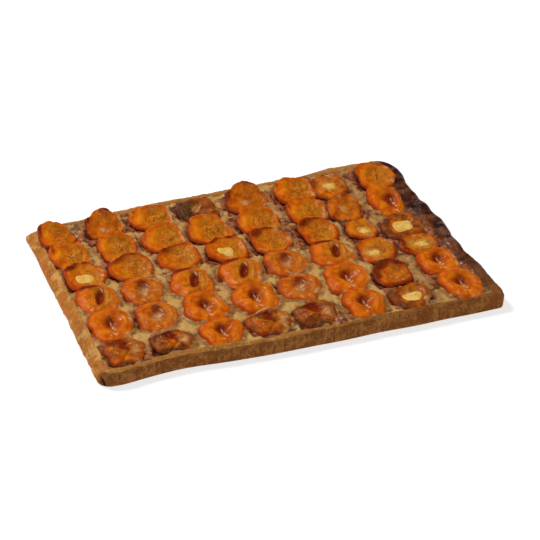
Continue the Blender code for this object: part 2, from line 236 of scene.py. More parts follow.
SMALL = dict(
    growth=1.06, rim_at=0.72, drop=4.0, lean=1.0, lift=0.8, rim=-0.6, lip=-0.8, pit=-2.8, crown=1.0,
    curve=1.2, hole=(0.40, 0.36), pit_at=(-0.06, 0.3), gold=0.7, red=0.3, milk=0.0, brown=0.7,
    juice=0.6, pool=1.3, pool_at=(0.0, -1.5), trims=((150, 22, 0.12), (-140, 22, 0.1)), glow=(),
    bumps=((0.2, -0.3, 0.08, 0.6, -20, -2.2), (-0.35, -0.25, 0.3, 0.3, 0, 1.3),
        (0.6, 0.0, 0.25, 0.4, 0, 1.0)),
    dark=((-0.5, 0.65, 0.6, 0.16, 40, 0.9), (-0.06, 0.4, 0.32, 0.28, -35, 1.0),
        (0.16, 0.1, 0.2, 0.15, -40, 0.7), (0.25, -0.75, 0.4, 0.12, 20, 0.5)),
    pale=((0.68, 0.0, 0.26, 0.45, 0, 0.65),),
    char=((-0.7, 0.4, 0.2, 0.4, 30, 0.6), (0.3, -0.9, 0.6, 0.14, 10, 0.9)),
    glint=((-0.62, 0.1, 0.05, 0.16, 0, 0.7), (-0.3, -0.35, 0.05, 0.05, 0, 0.8)),
)
SHALLOW = dict(
    CUP, lean=0.8, lift=0.8, lip=-1.4, pit=-3.0, curve=1.6, hole=(0.50, 0.42), pit_at=(0.0, 0.0),
    red=0.5, brown=0.1, juice=0.6, bumps=(),
)


def moved(spots, right, away):
    """The same spots further to the right and away."""
    return tuple((x + right, y + away, *rest) for x, y, *rest in spots)


KINDS = {
    "cup": CUP,
    "corner": dict(
        CUP, trims=((44, 30, -0.16),),
        bumps=((-0.55, 0.1, 0.3, 0.6, 0, 1.6), (0.06, 0.1, 0.06, 0.5, 6, 1.4),
            (0.55, 0.0, 0.3, 0.6, 0, 0.8)),
        dark=((-0.98, 0.35, 0.12, 0.5, 20, 0.5), (-0.1, 0.95, 0.5, 0.12, 0, 0.8),
            (0.4, 0.9, 0.5, 0.2, 0, 0.7)),
        pale=((0.08, 0.1, 0.04, 0.5, 6, 0.4), (0.75, -0.1, 0.08, 0.3, 4, 0.4)),
        glow=((-0.62, -0.1, 0.26, 0.6, -10, 1.0),),
    ),
    "curl": dict(
        RING, pit_at=(0.26, 0.0), pale=(),
        dark=moved(RING["dark"], 0.22, -0.06),
        glint=moved(RING["glint"], 0.26, -0.04),
    ),
    "peak": dict(
        CUP, lean=1.1, juice=1.0, trims=((36, 34, 0.36), (70, 20, 0.14)),
        bumps=((-0.5, 0.5, 0.3, 0.4, 0, 3.4), (0.75, 0.5, 0.5, 0.6, 0, -4.6),
            (0.15, 0.15, 0.6, 0.16, -38, 1.8)),
        dark=((-1.0, 0.2, 0.12, 0.8, 8, 1.1), (-0.4, 0.95, 0.5, 0.1, 20, 1.0),
            (-0.1, 0.1, 0.3, 0.1, 60, 0.5)),
        glint=((-0.1, -0.75, 0.08, 0.04, 0, 0.8),),
    ),
    "dark": dict(
        CUP, lean=0.9, gold=0.6, red=1.0, brown=0.45, juice=1.0, glow=(),
        bumps=((0.3, -0.2, 0.4, 0.2, 0, 0.8), (-0.2, 0.1, 0.1, 0.5, 30, -1.2),
            (0.2, 0.2, 0.3, 0.1, -40, 1.2)),
        dark=((-0.55, 0.5, 0.6, 0.26, 48, 1.7), (0.35, 0.72, 0.5, 0.15, -28, 1.4),
            (-0.7, -0.35, 0.24, 0.3, 0, 1.1)),
        char=((-0.55, 0.6, 0.6, 0.18, 45, 0.8), (-0.8, -0.3, 0.2, 0.3, 0, 0.5)),
        glint=((0.5, -0.45, 0.07, 0.04, 0, 1.0), (0.25, -0.2, 0.12, 0.04, 30, 0.8)),
    ),
    "oval": dict(
        CUP, curve=2.3, pit_at=(0.05, 0.0), red=0.7, glow=(),
        bumps=((0.5, 0.4, 0.3, 0.1, -40, 0.5),),
        dark=((-0.7, 0.45, 0.6, 0.26, 48, 0.75), (-0.1, 0.88, 0.4, 0.14, 0, 0.8)),
    ),
    "tall": dict(
        CUP, lean=1.6, lift=1.2, lip=-3.4, pit=-4.0, gold=0.5, brown=0.35, juice=1.0,
        trims=((35, 24, 0.2), (152, 20, 0.14)), glow=(),
        bumps=((-0.2, 0.8, 0.3, 0.3, 0, 2.0), (0.9, 0.6, 0.4, 0.6, 0, -3.5),
            (-0.95, 0.5, 0.2, 0.4, 0, -2.0), (0.0, -0.2, 0.3, 0.3, 0, 1.5)),
        dark=((-0.88, 0.0, 0.2, 0.9, 0, 0.9), (0.0, 0.93, 0.7, 0.12, 0, 0.8)),
        pale=((0.05, -0.3, 0.3, 0.2, 0, 0.8),),
    ),
    "pale": dict(
        CUP, lift=0.9, lip=-3.2, pit=-4.0, gold=0.5, brown=0.4, juice=0.9,
        dark=((0.8, -0.1, 0.12, 0.6, 8, 1.0), (-0.2, 0.9, 0.6, 0.14, 0, 0.7)),
        pale=((-0.1, 0.0, 0.4, 0.36, 0, 0.5),),
        glow=((0.5, -0.2, 0.12, 0.4, 0, 0.9),),
        glint=((-0.3, 0.72, 0.07, 0.05, 0, 0.8), (0.1, -0.8, 0.06, 0.05, 0, 0.8)),
    ),
    "slipped": dict(
        SHALLOW, pool=1.2, pool_at=(6.0, -8.0),
        dark=((0.6, 0.6, 0.5, 0.3, -20, 0.9), (-0.8, 0.4, 0.25, 0.5, 30, 0.4)),
        pale=((0.3, -0.6, 0.5, 0.2, 10, 0.5),),
    ),
    "well": dict(
        CUP, lip=-3.4, pit=-4.6, hole=(0.45, 0.34), pit_at=(0.0, 0.0), gold=0.7, red=0.8,
        pool_at=(0.5, -4.0), bumps=(), glow=(),
        dark=((-0.75, 0.5, 0.6, 0.2, 48, 1.0), (-0.1, 0.88, 0.4, 0.14, 0, 0.9)),
        pale=((-0.05, -0.28, 0.34, 0.14, -10, 1.2),),
    ),
    "dome": dict(
        RING, rim=-1.4, lip=0.3, pit=-4.2, crown=1.3, hole=(0.27, 0.48), pit_at=(0.16, 0.02), gold=0.8,
        bumps=((0.54, 0.0, 0.06, 0.45, 5, 1.1), (0.4, 0.0, 0.06, 0.5, 5, -0.9),
            (0.7, 0.0, 0.06, 0.4, 5, -0.7), (-0.5, 0.1, 0.3, 0.5, 0, 0.7),
            (0.2, 0.42, 0.25, 0.06, -52, 1.0)),
        dark=((0.14, 0.02, 0.2, 0.5, 0, 1.3), (-0.5, 0.75, 0.55, 0.25, 25, 1.5)),
        # Pale stripes on the right facets' ridges are painted highlights, and the glow there painted
        # light.
        pale=((0.54, 0.0, 0.07, 0.4, 4, 0.42), (0.76, 0.05, 0.06, 0.3, 4, 0.36)),
        glow=((0.6, 0.0, 0.2, 0.5, 0, 0.8),),
        glint=((0.2, 0.42, 0.12, 0.035, -50, 1.3), (-0.2, -0.76, 0.1, 0.04, -10, 1.0),
            (0.64, -0.2, 0.03, 0.12, 0, 1.0)),
    ),
    "milky": dict(
        RING, growth=1.0, lift=0.9, rim=-0.8, lip=-0.7, pit=-2.8, crown=0.8, gold=0.4, milk=0.05,
        brown=0.25, juice=0.4,
        dark=((-0.05, 0.4, 0.3, 0.26, -30, 1.1), (-0.8, 0.4, 0.3, 0.4, 30, 0.3)),
        pale=((0.0, -0.05, 0.26, 0.4, -10, 0.85), (0.6, 0.1, 0.2, 0.4, 0, 0.3)),
        glint=((0.16, 0.36, 0.14, 0.03, -40, 0.9), (0.1, -0.7, 0.14, 0.05, -10, 0.8)),
    ),
    "ring": RING,
    "notch": dict(
        RING, trims=((-62, 10, 0.22),),
        bumps=RING["bumps"][1:] + ((0.34, -0.75, 0.09, 0.5, 12, -5.5), (0.62, -0.4, 0.25, 0.5, 0, 1.4),
            (-0.35, -0.45, 0.4, 0.4, 0, 1.2)),
        dark=RING["dark"] + ((0.34, -0.8, 0.07, 0.4, 12, 0.8),),
    ),
    "small": SMALL,
    "dull": dict(
        SMALL, gold=0.3, red=0.5, brown=1.0,
        dark=((-0.2, 0.42, 0.42, 0.26, -15, 1.3), (-0.75, 0.3, 0.16, 0.5, 20, 0.9)),
        pale=((0.6, 0.1, 0.3, 0.4, 0, 0.85),),
        char=((-0.8, 0.35, 0.2, 0.5, 20, 1.0), (0.2, -0.85, 0.7, 0.16, 10, 1.2)),
    ),
    "sunk": dict(
        SMALL, growth=1.2, lean=0.7, lift=0.7, rim=-0.4, lip=-0.5, pit=-1.4, crown=0.3, gold=0.0,
        brown=1.6, juice=1.0, dark=(), glint=(),
        bumps=((-0.45, 0.0, 0.3, 0.6, -15, 1.8), (-0.1, 0.0, 0.1, 0.6, -15, -1.6),
            (0.4, 0.2, 0.3, 0.2, 30, 1.2)),
        pale=((-0.12, 0.1, 0.14, 0.45, -20, 1.2), (0.5, -0.1, 0.3, 0.5, 0, 0.3)),
        char=((-0.78, 0.0, 0.42, 1.0, -15, 1.4), (-0.5, -0.7, 0.4, 0.3, 10, 1.2)),
    ),
    "glazed": dict(
        SHALLOW, pool_at=(-3.5, -5.0),
        bumps=((0.7, 0.0, 0.25, 0.5, 0, 0.8),),
        dark=((-0.8, 0.4, 0.25, 0.5, 30, 0.5), (0.85, 0.1, 0.14, 0.5, 0, 0.8)),
        pale=((-0.25, -0.2, 0.5, 0.45, 0, 0.75),),
    ),
    "misty": dict(
        SHALLOW, lift=0.7, lip=-1.2, pit=-2.6, gold=0.8, brown=0.5, juice=1.0, pool=1.35,
        pool_at=(1.5, 0.5),
        dark=((-0.85, 0.1, 0.2, 0.6, 20, 1.0), (-0.5, -0.6, 0.4, 0.2, -30, 0.7)),
        pale=((0.1, 0.15, 0.6, 0.45, 0, 0.7),),
    ),
    "hazy": dict(
        SHALLOW, lift=0.7, gold=0.5, brown=0.7, juice=0.8,
        bumps=((0.7, 0.0, 0.25, 0.5, 0, 0.8), (0.0, 0.7, 0.8, 0.2, 0, -1.2)),
        dark=((-0.85, 0.2, 0.2, 0.6, 10, 0.6),),
        pale=((-0.1, 0.1, 0.5, 0.4, 0, 0.7), (0.0, 0.85, 0.3, 0.14, 0, 0.9)),
    ),
    "pooled": dict(
        SMALL, lean=0.8, rim=0.0, lip=-1.4, pit=-3.0, crown=0.2, hole=(0.50, 0.42), pit_at=(0.0, 0.0),
        brown=0.85, juice=0.9, trims=(), bumps=(), glint=(),
        dark=((-0.75, 0.3, 0.25, 0.6, 20, 0.9),),
        pale=((0.0, 0.0, 0.42, 0.36, 0, 0.9),),
        char=((-0.85, 0.2, 0.2, 0.7, 20, 0.9), (-0.4, -0.75, 0.5, 0.2, -20, 0.7)),
    ),
}
BROWNED_KINDS = ("small", "dull", "sunk", "pooled", "glazed", "slipped", "hazy", "misty")
POOLED_KINDS = ("well", "pooled", "glazed", "slipped", "hazy", "misty")
SOFT_POOL_KINDS = ("glazed", "slipped", "hazy", "misty")

# Camera, fitted to the photo's corners
CAMERA_AZIMUTH = math.radians(-20.434)
CAMERA_ELEVATION = math.radians(32.123)
CAMERA_DISTANCE = 1770.6
CAMERA_LENS = 120.23
CAMERA_AIM = (13.8, 3.3)
CAMERA_OFFSET = (-4.3, -2.53)

# Light
SKY_STRENGTH = 0.145
KEY_POWER = 67.0
FILL_POWER = 30.0
FLOOR_GLOW = 0.6
FLOOR_REACH = 2500.0
FLOOR_DEPTH = 5.0


def smooth_step(value):
    """Rise smoothly from 0 to 1 as value goes from 0 to 1."""
    t = np.clip(value, 0.0, 1.0)
    return t * t * (3.0 - 2.0 * t)


def mix(a, b, share):
    """From a to b as share goes from 0 to 1."""
    return a + (b - a) * share


def soft_floor(value, floor, round_off=0.8):
    """The larger of value and floor, with the corner between them rounded off."""
    over = value - floor
    return floor + 0.5 * (over + np.sqrt(over * over + round_off * round_off))


def cell_value(cell, seed):
    """A steady random number from 0 to 1 for each whole-number cell, by mixing its bits."""
    mixed = cell[..., 0] * 73856093 ^ cell[..., 1] * 19349663 ^ cell[..., 2] * 83492791
    mixed = (mixed ^ seed * 2654435761) & 0xFFFFFFFF
    mixed = ((mixed ^ mixed >> 15) * 2246822519) & 0xFFFFFFFF
    mixed = ((mixed ^ mixed >> 13) * 3266489917) & 0xFFFFFFFF
    return ((mixed ^ mixed >> 16) & 0xFFFFFF) / 0xFFFFFF


def relief(points, size, seed, octaves=1):
    """Smooth random relief from -1 to 1 with lumps of the given size.

    Each octave blends random values at the eight corners of a cell with an eased weight, and
    has half the size and half the height of the one before.
    """
    total = np.zeros(points.shape[:-1])
    height = 1.0
    whole = 0.0
    for octave in range(octaves):
        place = points * (2.0**octave / size)
        cell = np.floor(place).astype(np.int64)
        ease = smooth_step(place - cell)
        value = np.zeros(points.shape[:-1])
        for corner in range(8):
            step = np.array([corner & 1, corner >> 1 & 1, corner >> 2 & 1])
            weight = np.prod(np.where(step == 1, ease, 1.0 - ease), axis=-1)
            value += weight * cell_value(cell + step, seed + 17 * octave)
        total += height * (2.0 * value - 1.0)
        whole += height
        height *= 0.5
    return total / whole


def ring_normals(grid):
    """Unit normals of a grid of closed rings: across the rings, then along them."""
    across = np.gradient(grid, axis=0)
    along = np.roll(grid, -1, axis=1) - np.roll(grid, 1, axis=1)
    normals = np.cross(across, along)
    return normals / np.maximum(np.linalg.norm(normals, axis=-1, keepdims=True), 1e-9)


def add_mesh(name, points, faces, masks):
    """A smooth object at the origin from points in millimetres, with masks on its points."""
    mesh = bpy.data.meshes.new(name)
    mesh.from_pydata((points * MM).tolist(), [], faces)
    for mask, values in masks.items():
        layer = mesh.attributes.new(mask, "FLOAT", "POINT")
        layer.data.foreach_set("value", np.asarray(values, dtype=np.float32).ravel())
    mesh.shade_smooth()
    piece = bpy.data.objects.new(name, mesh)
    bpy.context.scene.collection.objects.link(piece)
    return piece


def ring_body(name, grid, top, bottom, masks):
    """A closed body of rings, listed from the top middle outwards and down.

    Neighbouring rings are joined by quads. A fan to the point top closes the first ring, and
    one to the point bottom the last. Masks are given for the grid, and the two points take
    the mean of their ring.
    """
    rings, count = grid.shape[:2]
    index = np.arange(rings * count).reshape(rings, count)
    following = np.roll(index, -1, axis=1)
    quads = np.stack([index[:-1], index[1:], following[1:], following[:-1]], axis=-1)
    peak = rings * count
    cap = np.stack([np.full(count, peak), index[0], following[0]], axis=-1)
    base = np.stack([np.full(count, peak + 1), following[-1], index[-1]], axis=-1)
    faces = quads.reshape(-1, 4).tolist() + cap.tolist() + base.tolist()
    points = np.concatenate([grid.reshape(-1, 3), [top], [bottom]])
    whole = {}
    for mask, values in masks.items():
        values = np.broadcast_to(values, (rings, count))
        whole[mask] = np.concatenate([values.ravel(), [values[0].mean()], [values[-1].mean()]])
    return add_mesh(name, points, faces, whole)


def slab_body(name, grid, underside, masks):
    """A closed body with a height field on top, upright sides and a flat underside.

    The grid's border is copied to the height underside, joined to the border by quads, and
    closed by one face.
    """
    rows, columns = grid.shape[:2]
    index = np.arange(rows * columns).reshape(rows, columns)
    quads = np.stack([index[:-1, :-1], index[1:, :-1], index[1:, 1:], index[:-1, 1:]], axis=-1)
    border = np.concatenate([index[:-1, 0], index[-1, :-1], index[:0:-1, -1], index[0, :0:-1]])
    lower = np.arange(len(border)) + rows * columns
    after, below = np.roll(border, -1), np.roll(lower, -1)
    sides = np.stack([border, lower, below, after], axis=-1)
    points = grid.reshape(-1, 3)
    dropped = points[border].copy()
    dropped[:, 2] = underside
    faces = quads.reshape(-1, 4).tolist() + sides.tolist() + [lower[::-1].tolist()]
    whole = {}
    for mask, values in masks.items():
        values = values.ravel()
        whole[mask] = np.concatenate([values, values[border]])
    return add_mesh(name, np.concatenate([points, dropped]), faces, whole)


# Materials

def seen(red, green, blue):
    """A colour as seen on screen, out of 255, as the linear colour that a shader takes."""
    return tuple(((c / 255.0 + 0.055) / 1.055) ** 2.4 for c in (red, green, blue)) + (1.0,)


class Value:
    """A shader socket that Python arithmetic works on by adding Math nodes."""

    def __init__(self, finish, socket):
        self.finish = finish
        self.socket = socket

    def math(self, operation, *operands):
        """The result of a Math node on the operands."""
        inputs = dict(enumerate(operands))
        return self.finish.node("ShaderNodeMath", dict(operation=operation), inputs)

    def __add__(self, other):
        return self.math("ADD", self, other)

    __radd__ = __add__

    def __sub__(self, other):
        return self.math("SUBTRACT", self, other)

    def __rsub__(self, other):
        return self.math("SUBTRACT", other, self)

    def __mul__(self, other):
        return self.math("MULTIPLY", self, other)

    __rmul__ = __mul__

    def __pow__(self, other):
        return self.math("POWER", self, other)

    def between(self, low, high):
        """0 below low, 1 above high and smooth in between."""
        settings = dict(interpolation_type="SMOOTHSTEP")
        return self.finish.node("ShaderNodeMapRange", settings, {0: self, 1: low, 2: high})


class Finish:
    """One procedural material: its Principled shader and the nodes that feed it."""

    def __init__(self, name, **constants):
        self.material = bpy.data.materials.new(name)
        self.material.use_nodes = True
        self.tree = self.material.node_tree
        self.shader = self.tree.nodes["Principled BSDF"]
        for socket, value in constants.items():
            self.shader.inputs[socket.replace("_", " ")].default_value = value
        self.place = self.node("ShaderNodeTexCoord", {}, {}, "Object")

    def node(self, kind, settings, inputs, out=0):
        """Add a node, set its settings, then its sockets, and give one of its outputs."""
        made = self.tree.nodes.new(kind)
        for setting, value in settings.items():
            setattr(made, setting, value)
        for socket, value in inputs.items():
            if isinstance(value, Value):
                self.tree.links.new(value.socket, made.inputs[socket])
            else:
                made.inputs[socket].default_value = value
        return Value(self, made.outputs[out])

    def mask(self, name):
        """A mask that the mesh carries on its points."""
        return self.node("ShaderNodeAttribute", dict(attribute_name=name), {}, "Fac")

    def noise(self, size, detail=2.0, distortion=0.0, stretch=(1.0, 1.0, 1.0)):
        """Cloudy noise from 0 to 1 with spots of about the given size in millimetres."""
        place = self.place
        if stretch != (1.0, 1.0, 1.0):
            place = self.node("ShaderNodeMapping", {}, {"Vector": place, "Scale": stretch})
        inputs = {"Vector": place, "Scale": 1.0 / (size * MM)}
        inputs.update({"Detail": detail, "Distortion": distortion})
        return self.node("ShaderNodeTexNoise", {}, inputs)

    def blend(self, a, b, share):
        """Colour a turning into colour b as share goes from 0 to 1."""
        settings = dict(data_type="RGBA", clamp_factor=True)
        return self.node("ShaderNodeMix", settings, {0: share, 6: a, 7: b}, 2)

    def mottled(self, a, b, value, low, high):
        """Colour a, as seen, turning into colour b as value goes from low to high."""
        return self.blend(seen(*a), seen(*b), value.between(low, high))

    def layered(self, colour, *layers):
        """A colour with others laid over it, each given with its share."""
        for over, share in layers:
            colour = self.blend(colour, over, share)
        return colour

    def feed(self, socket, value):
        """Link a value to one of the shader's sockets."""
        self.tree.links.new(value.socket, self.shader.inputs[socket])

    def bump(self, height, depth, strength=1.0):
        """Feed a height from 0 to 1, depth millimetres tall, to the shader's normal."""
        inputs = {"Height": height, "Distance": depth * MM, "Strength": strength}
        self.feed("Normal", self.node("ShaderNodeBump", {}, inputs))


def burnt_colour(look, fine, broad):
    """Burnt juice: near black and dark red-brown, paler grey on its folds, partly dried skin, partly
    painted sheen.
    """
    large = look.noise(22.0, 2.0, 0.5, (0.6, 1.0, 1.0))
    folds = look.noise(15.0, 2.0, 0.8, (0.5, 1.0, 1.0))
    return look.layered(
        look.mottled((48, 18, 9), (126, 62, 24), large * 0.7 + broad * 0.3, 0.38, 0.6),
        # Paler grey on the folds: partly dried skin, partly painted sheen.
        (seen(120, 92, 80), folds.between(0.5, 0.64) * 0.6),
        (seen(50, 20, 10), fine.between(0.56, 0.76) * 0.35),
    )


def pastry_finish():
    """Shortcrust: golden on top, partly painted light, browner to the foot, toasted in spots, burnt
    where juice ran.
    """
    look = Finish("baked_pastry", Specular_IOR_Level=0.08)
    broad, fine, grain = look.noise(12.0, 3.0), look.noise(3.0, 4.0, 0.4), look.noise(0.9, 2.0)
    streaks = look.noise(3.0, 2.0, 0.2, (1.0, 1.0, 0.3))
    top, burnt, sheen, border = map(look.mask, ("top", "burnt", "sheen", "border"))
    left_border = look.mottled((204, 122, 42), (160, 88, 30), broad * 0.35 + fine * 0.65, 0.38, 0.62)
    glaze = look.mottled((214, 144, 62), (178, 104, 38), broad * 0.3 + fine * 0.7, 0.4, 0.6)
    toasted = (broad * 0.45 + fine * 0.55).between(0.45, 0.64)
    colour = look.layered(
        look.mottled((152, 96, 42), (80, 44, 16), broad * 0.55 + fine * 0.45, 0.4, 0.62),
        (seen(64, 34, 12), streaks.between(0.52, 0.64) * 0.6),
        (seen(180, 122, 62), grain.between(0.52, 0.7) * 0.6),
        # The rim's top is lighter golden: partly its bake, partly painted light.
        (seen(188, 124, 56), top),
        (left_border, border),
        (glaze, look.mask("glaze")),
        # Pale tops of the blisters: partly glaze, partly painted highlights.
        (seen(234, 186, 110), look.mask("blister") * fine.between(0.34, 0.6) * 0.75),
        (seen(140, 76, 26), toasted * (0.75 - border * 0.45)),
        # Pale specks on the top: partly crumbs, partly painted highlights.
        (seen(226, 176, 100), fine.between(0.5, 0.68) * top * 0.6),
        (seen(92, 44, 14), (fine * 0.6 + grain * 0.4).between(0.42, 0.3) * 0.85),
        (seen(178, 98, 44), sheen * fine.between(0.35, 0.6)),
        (burnt_colour(look, fine, broad), burnt),
        # The crack is painted near black, as shade in its groove.
        (seen(44, 22, 8), look.mask("crack")),
    )
    look.feed("Base Color", colour)
    look.feed("Roughness", 0.7 - sheen * 0.35 - burnt * 0.25)
    look.bump((fine * 0.6 + grain * 0.4) * (1.0 - burnt * 0.7), 0.6)
    return look.material


def custard_finish(name, pale):
    """Baked custard: pale yellow, mottled with toasted patches, stained by juice, painted shade in its
    creases.
    """
    look = Finish(name, Coat_Roughness=0.2, Coat_IOR=1.4, Specular_IOR_Level=0.08)
    broad, fine, grain = look.noise(9.0, 2.0, 0.5), look.noise(2.6, 3.0, 0.6), look.noise(0.8, 2.0)
    toast, juice, burnt, puff = map(look.mask, ("toast", "juice", "burnt", "puff"))
    if pale:
        plain = (252, 208, 114), (238, 182, 80)
        baked = (216, 146, 44), (186, 104, 24)
    else:
        plain = (202, 152, 90), (150, 106, 60)
        baked = (172, 104, 44), (102, 54, 24)
    browned = look.mottled(*baked, fine, 0.4, 0.62)
    wrinkled = puff * 0.25 + fine * 0.6 + broad * 0.3
    stained = look.mottled((100, 48, 30), (186, 108, 68), wrinkled, 0.45, 0.8)
    colour = look.layered(
        seen(136, 86, 40),
        # Darker between the puffs: painted shade in the creases.
        (look.mottled(*plain, broad, 0.38, 0.62), puff * 0.6 + 0.4),
        (seen(220, 172, 96), look.mask("bright") * 0.85),
        (seen(156, 90, 36), fine.between(0.5, 0.7) * (0.2 if pale else 0.3)),
        (browned, (toast + fine * 0.5 - 0.25).between(0.2, 0.8)),
        (stained, (juice + fine * 0.6 - 0.3).between(0.2, 0.8)),
        (seen(238, 204, 140), grain.between(0.62, 0.72) * 0.25),
        (burnt_colour(look, fine, broad), burnt),
    )
    look.feed("Base Color", colour)
    look.feed("Roughness", 0.6 - fine * 0.2)
    look.feed("Coat Weight", 0.1 + juice * 0.4)
    look.bump(fine * 0.6 + grain * 0.4, 0.25)
    return look.material


def apricot_finish():
    """Glazed apricot: orange rim, golden cup, dark red hollow of the stone, painted shade, glow and
    glints.
    """
    look = Finish("baked_apricot", Coat_Roughness=0.16, Coat_IOR=1.4, Specular_IOR_Level=0.05)
    broad, fine, grain = look.noise(6.0, 3.0, 0.4), look.noise(1.8, 3.0, 0.5), look.noise(0.7, 2.0)
    ridges = look.noise(3.2, 2.0, 0.4, (1.0, 0.4, 1.0))
    grit = look.mask("grit")
    golden = look.layered(
        look.mottled((208, 130, 26), (160, 92, 14), ridges * 0.6 + broad * 0.4, 0.36, 0.66),
        (seen(118, 58, 8), fine.between(0.52, 0.64) * grit),
        # Pale dots in the grit: painted small highlights.
        (seen(246, 180, 70), fine.between(0.44, 0.36) * grit * 0.8),
    )
    stained = look.mottled((96, 34, 14), (168, 84, 54), grain * 0.5 + fine * 0.5, 0.42, 0.62)
    colour = look.layered(
        look.mottled((240, 126, 10), (214, 94, 4), broad, 0.35, 0.65),
        (golden, look.mask("inner")),
        # Glow is painted light: flesh brightened where the lamp falls on lobes and facets.
        (seen(248, 148, 18), look.mask("glow") * 0.65),
        # The rim colour also darkens the left skin: its own red and painted shade.
        (seen(176, 56, 8), look.mask("rim")),
        (look.mottled((180, 70, 4), (140, 40, 2), fine, 0.4, 0.65), look.mask("hole")),
        (look.mottled((172, 88, 24), (108, 50, 14), broad, 0.3, 0.7), look.mask("brown")),
        # Dark spots: the flesh's own red, and painted shade on slopes turned from the lamp.
        (look.mottled((150, 48, 4), (98, 26, 4), fine, 0.36, 0.66), look.mask("dark")),
        (look.mottled((62, 34, 16), (124, 76, 36), fine, 0.36, 0.66), look.mask("char")),
        (look.mottled((230, 180, 116), (186, 124, 70), broad, 0.35, 0.65), look.mask("milk")),
        # Juice also darkens the foot of each half: partly a painted shadow.
        (stained, look.mask("juice")),
        # Glints are painted wet highlights.
        (seen(255, 206, 160), look.mask("glint") * 0.6),
    )
    look.feed("Base Color", colour)
    look.feed("Roughness", 0.36 + fine * 0.2)
    look.feed("Coat Weight", look.mask("gloss") * 0.15 + 0.03)
    look.bump(fine * 0.6 + grain * 0.4, 0.3)
    return look.material


# Pastry case

def half_depth(x):
    """Half the depth of the case at x, which grows evenly from the left end to the right."""
    return mix(HALF_DEPTH_LEFT, HALF_DEPTH_RIGHT, (x + HALF_WIDTH) / (2.0 * HALF_WIDTH))


def case_outline(inset, steps):
    """Points, outward directions, side numbers and stations of a ring inset within the edge.

    The ring is a rectangle with rounded corners. It starts at the back left corner and runs
    round by the left, front, right and back sides. Corners are arcs, and each station of the
    edge is divided into equal steps.
    """
    arcs = []
    corner_steps = CORNER_STATIONS * steps
    for k, (sx, sy) in enumerate(((-1, 1), (-1, -1), (1, -1), (1, 1))):
        side_x = inset[LEFT] if sx < 0 else inset[RIGHT]
        side_y = inset[FRONT] if sy < 0 else inset[BACK]
        corner_x = sx * (HALF_WIDTH - side_x)
        corner_y = sy * (half_depth(corner_x) - side_y)
        radius = max(CORNER_RADII[k] - min(side_x, side_y), 1.5)
        turn = np.radians(90.0 * (k + 1) + np.linspace(0.0, 90.0, corner_steps + 1))
        direction = np.stack([np.cos(turn), np.sin(turn)], axis=1)
        centre = np.array([corner_x - sx * radius, corner_y - sy * radius])
        arcs.append((centre + radius * direction, direction))
    points, normals, sides, stations = [], [], [], []
    first = 0.0
    for k in range(4):
        arc, direction = arcs[k]
        following = arcs[(k + 1) % 4][0]
        run_steps = SIDE_STATIONS[k] * steps
        share = np.linspace(0.0, 1.0, run_steps + 1)[1:-1, None]
        points += [arc, mix(arc[-1], following[0], share)]
        normals += [direction, np.repeat(direction[-1:], run_steps - 1, axis=0)]
        turning = (k - 1) % 4 + np.linspace(0.0, 1.0, corner_steps + 1)
        sides += [turning, np.full(run_steps - 1, float(k))]
        stations.append(first + np.arange(corner_steps + run_steps) / steps)
        first += CORNER_STATIONS + SIDE_STATIONS[k]
    return tuple(np.concatenate(part) for part in (points, normals, sides, stations))


def by_side(values, sides):
    """The value of each ring point, blended round the corners from side to side."""
    return np.interp(sides % 4.0, np.arange(5.0), (*values, values[0]))


def edge_wave(stations, seed):
    """A closed wave round the case of about unit height: a sum of whole-cycle sines."""
    draw = np.random.default_rng(seed)
    along = stations / (sum(SIDE_STATIONS) + 4 * CORNER_STATIONS)
    wave = np.zeros(len(stations))
    for cycles, share in zip(WAVE_CYCLES, WAVE_SHARES):
        wave += share * np.sin(2.0 * np.pi * (cycles * along + draw.random()))
    return wave


def edge_bump(side, place):
    """How far the given side bulges out at each place along it: a sum of bell curves."""
    reach = np.zeros(np.shape(place))
    for bumped, middle, out, half_width in EDGE_BUMPS:
        if bumped == side:
            reach = reach + out * np.exp(-(((place - middle) / half_width) ** 2))
    return reach


def left_share(points):
    """1 along the low left border, fading to 0 where the rim has risen to full height."""
    reach = np.where(points[:, 1] > 0.0, LEFT_RISE_AT_BACK, LEFT_RISE_AT_FRONT)
    from_front = points[:, 1] + half_depth(points[:, 0])
    low = 1.0 - smooth_step((points[:, 0] + HALF_WIDTH) / reach)
    return low * smooth_step(from_front / LEFT_RISE_AT_FRONT)


def lip_level(points, sides, _stations):
    """Height of the outer lip: low on the left border and a little lower on the right."""
    usual = by_side((LIP_HEIGHT, LIP_HEIGHT, RIGHT_LIP_HEIGHT, LIP_HEIGHT), sides)
    towards_back = smooth_step(points[:, 1] / (2.0 * HALF_DEPTH_LEFT) + 0.5)
    return mix(usual, mix(LEFT_LIP_FRONT, LEFT_LIP_BACK, towards_back), left_share(points))


def crest_level(points, sides, stations):
    """Height of the top of the rim, with its own slow wave."""
    usual = by_side((CREST_HEIGHT, CREST_HEIGHT, RIGHT_CREST_HEIGHT, CREST_HEIGHT), sides)
    usual = usual + CREST_WAVE * edge_wave(stations, SEED + 1)
    level = mix(usual, LEFT_CREST_HEIGHT, left_share(points))
    return level - corner_dip(points[:, 0], points[:, 1])


def corner_dip(x, y):
    """How far the case and its filling sink towards the back left corner, a bell curve."""
    return CORNER_DIP * np.exp(-(((x + HALF_WIDTH) / 26.0) ** 2) - ((y - HALF_DEPTH_LEFT) / 40.0) ** 2)


def brim_level(points, sides, stations):
    """Height of the inner edge of the rim's top."""
    return crest_level(points, sides, stations) - BRIM_DROP


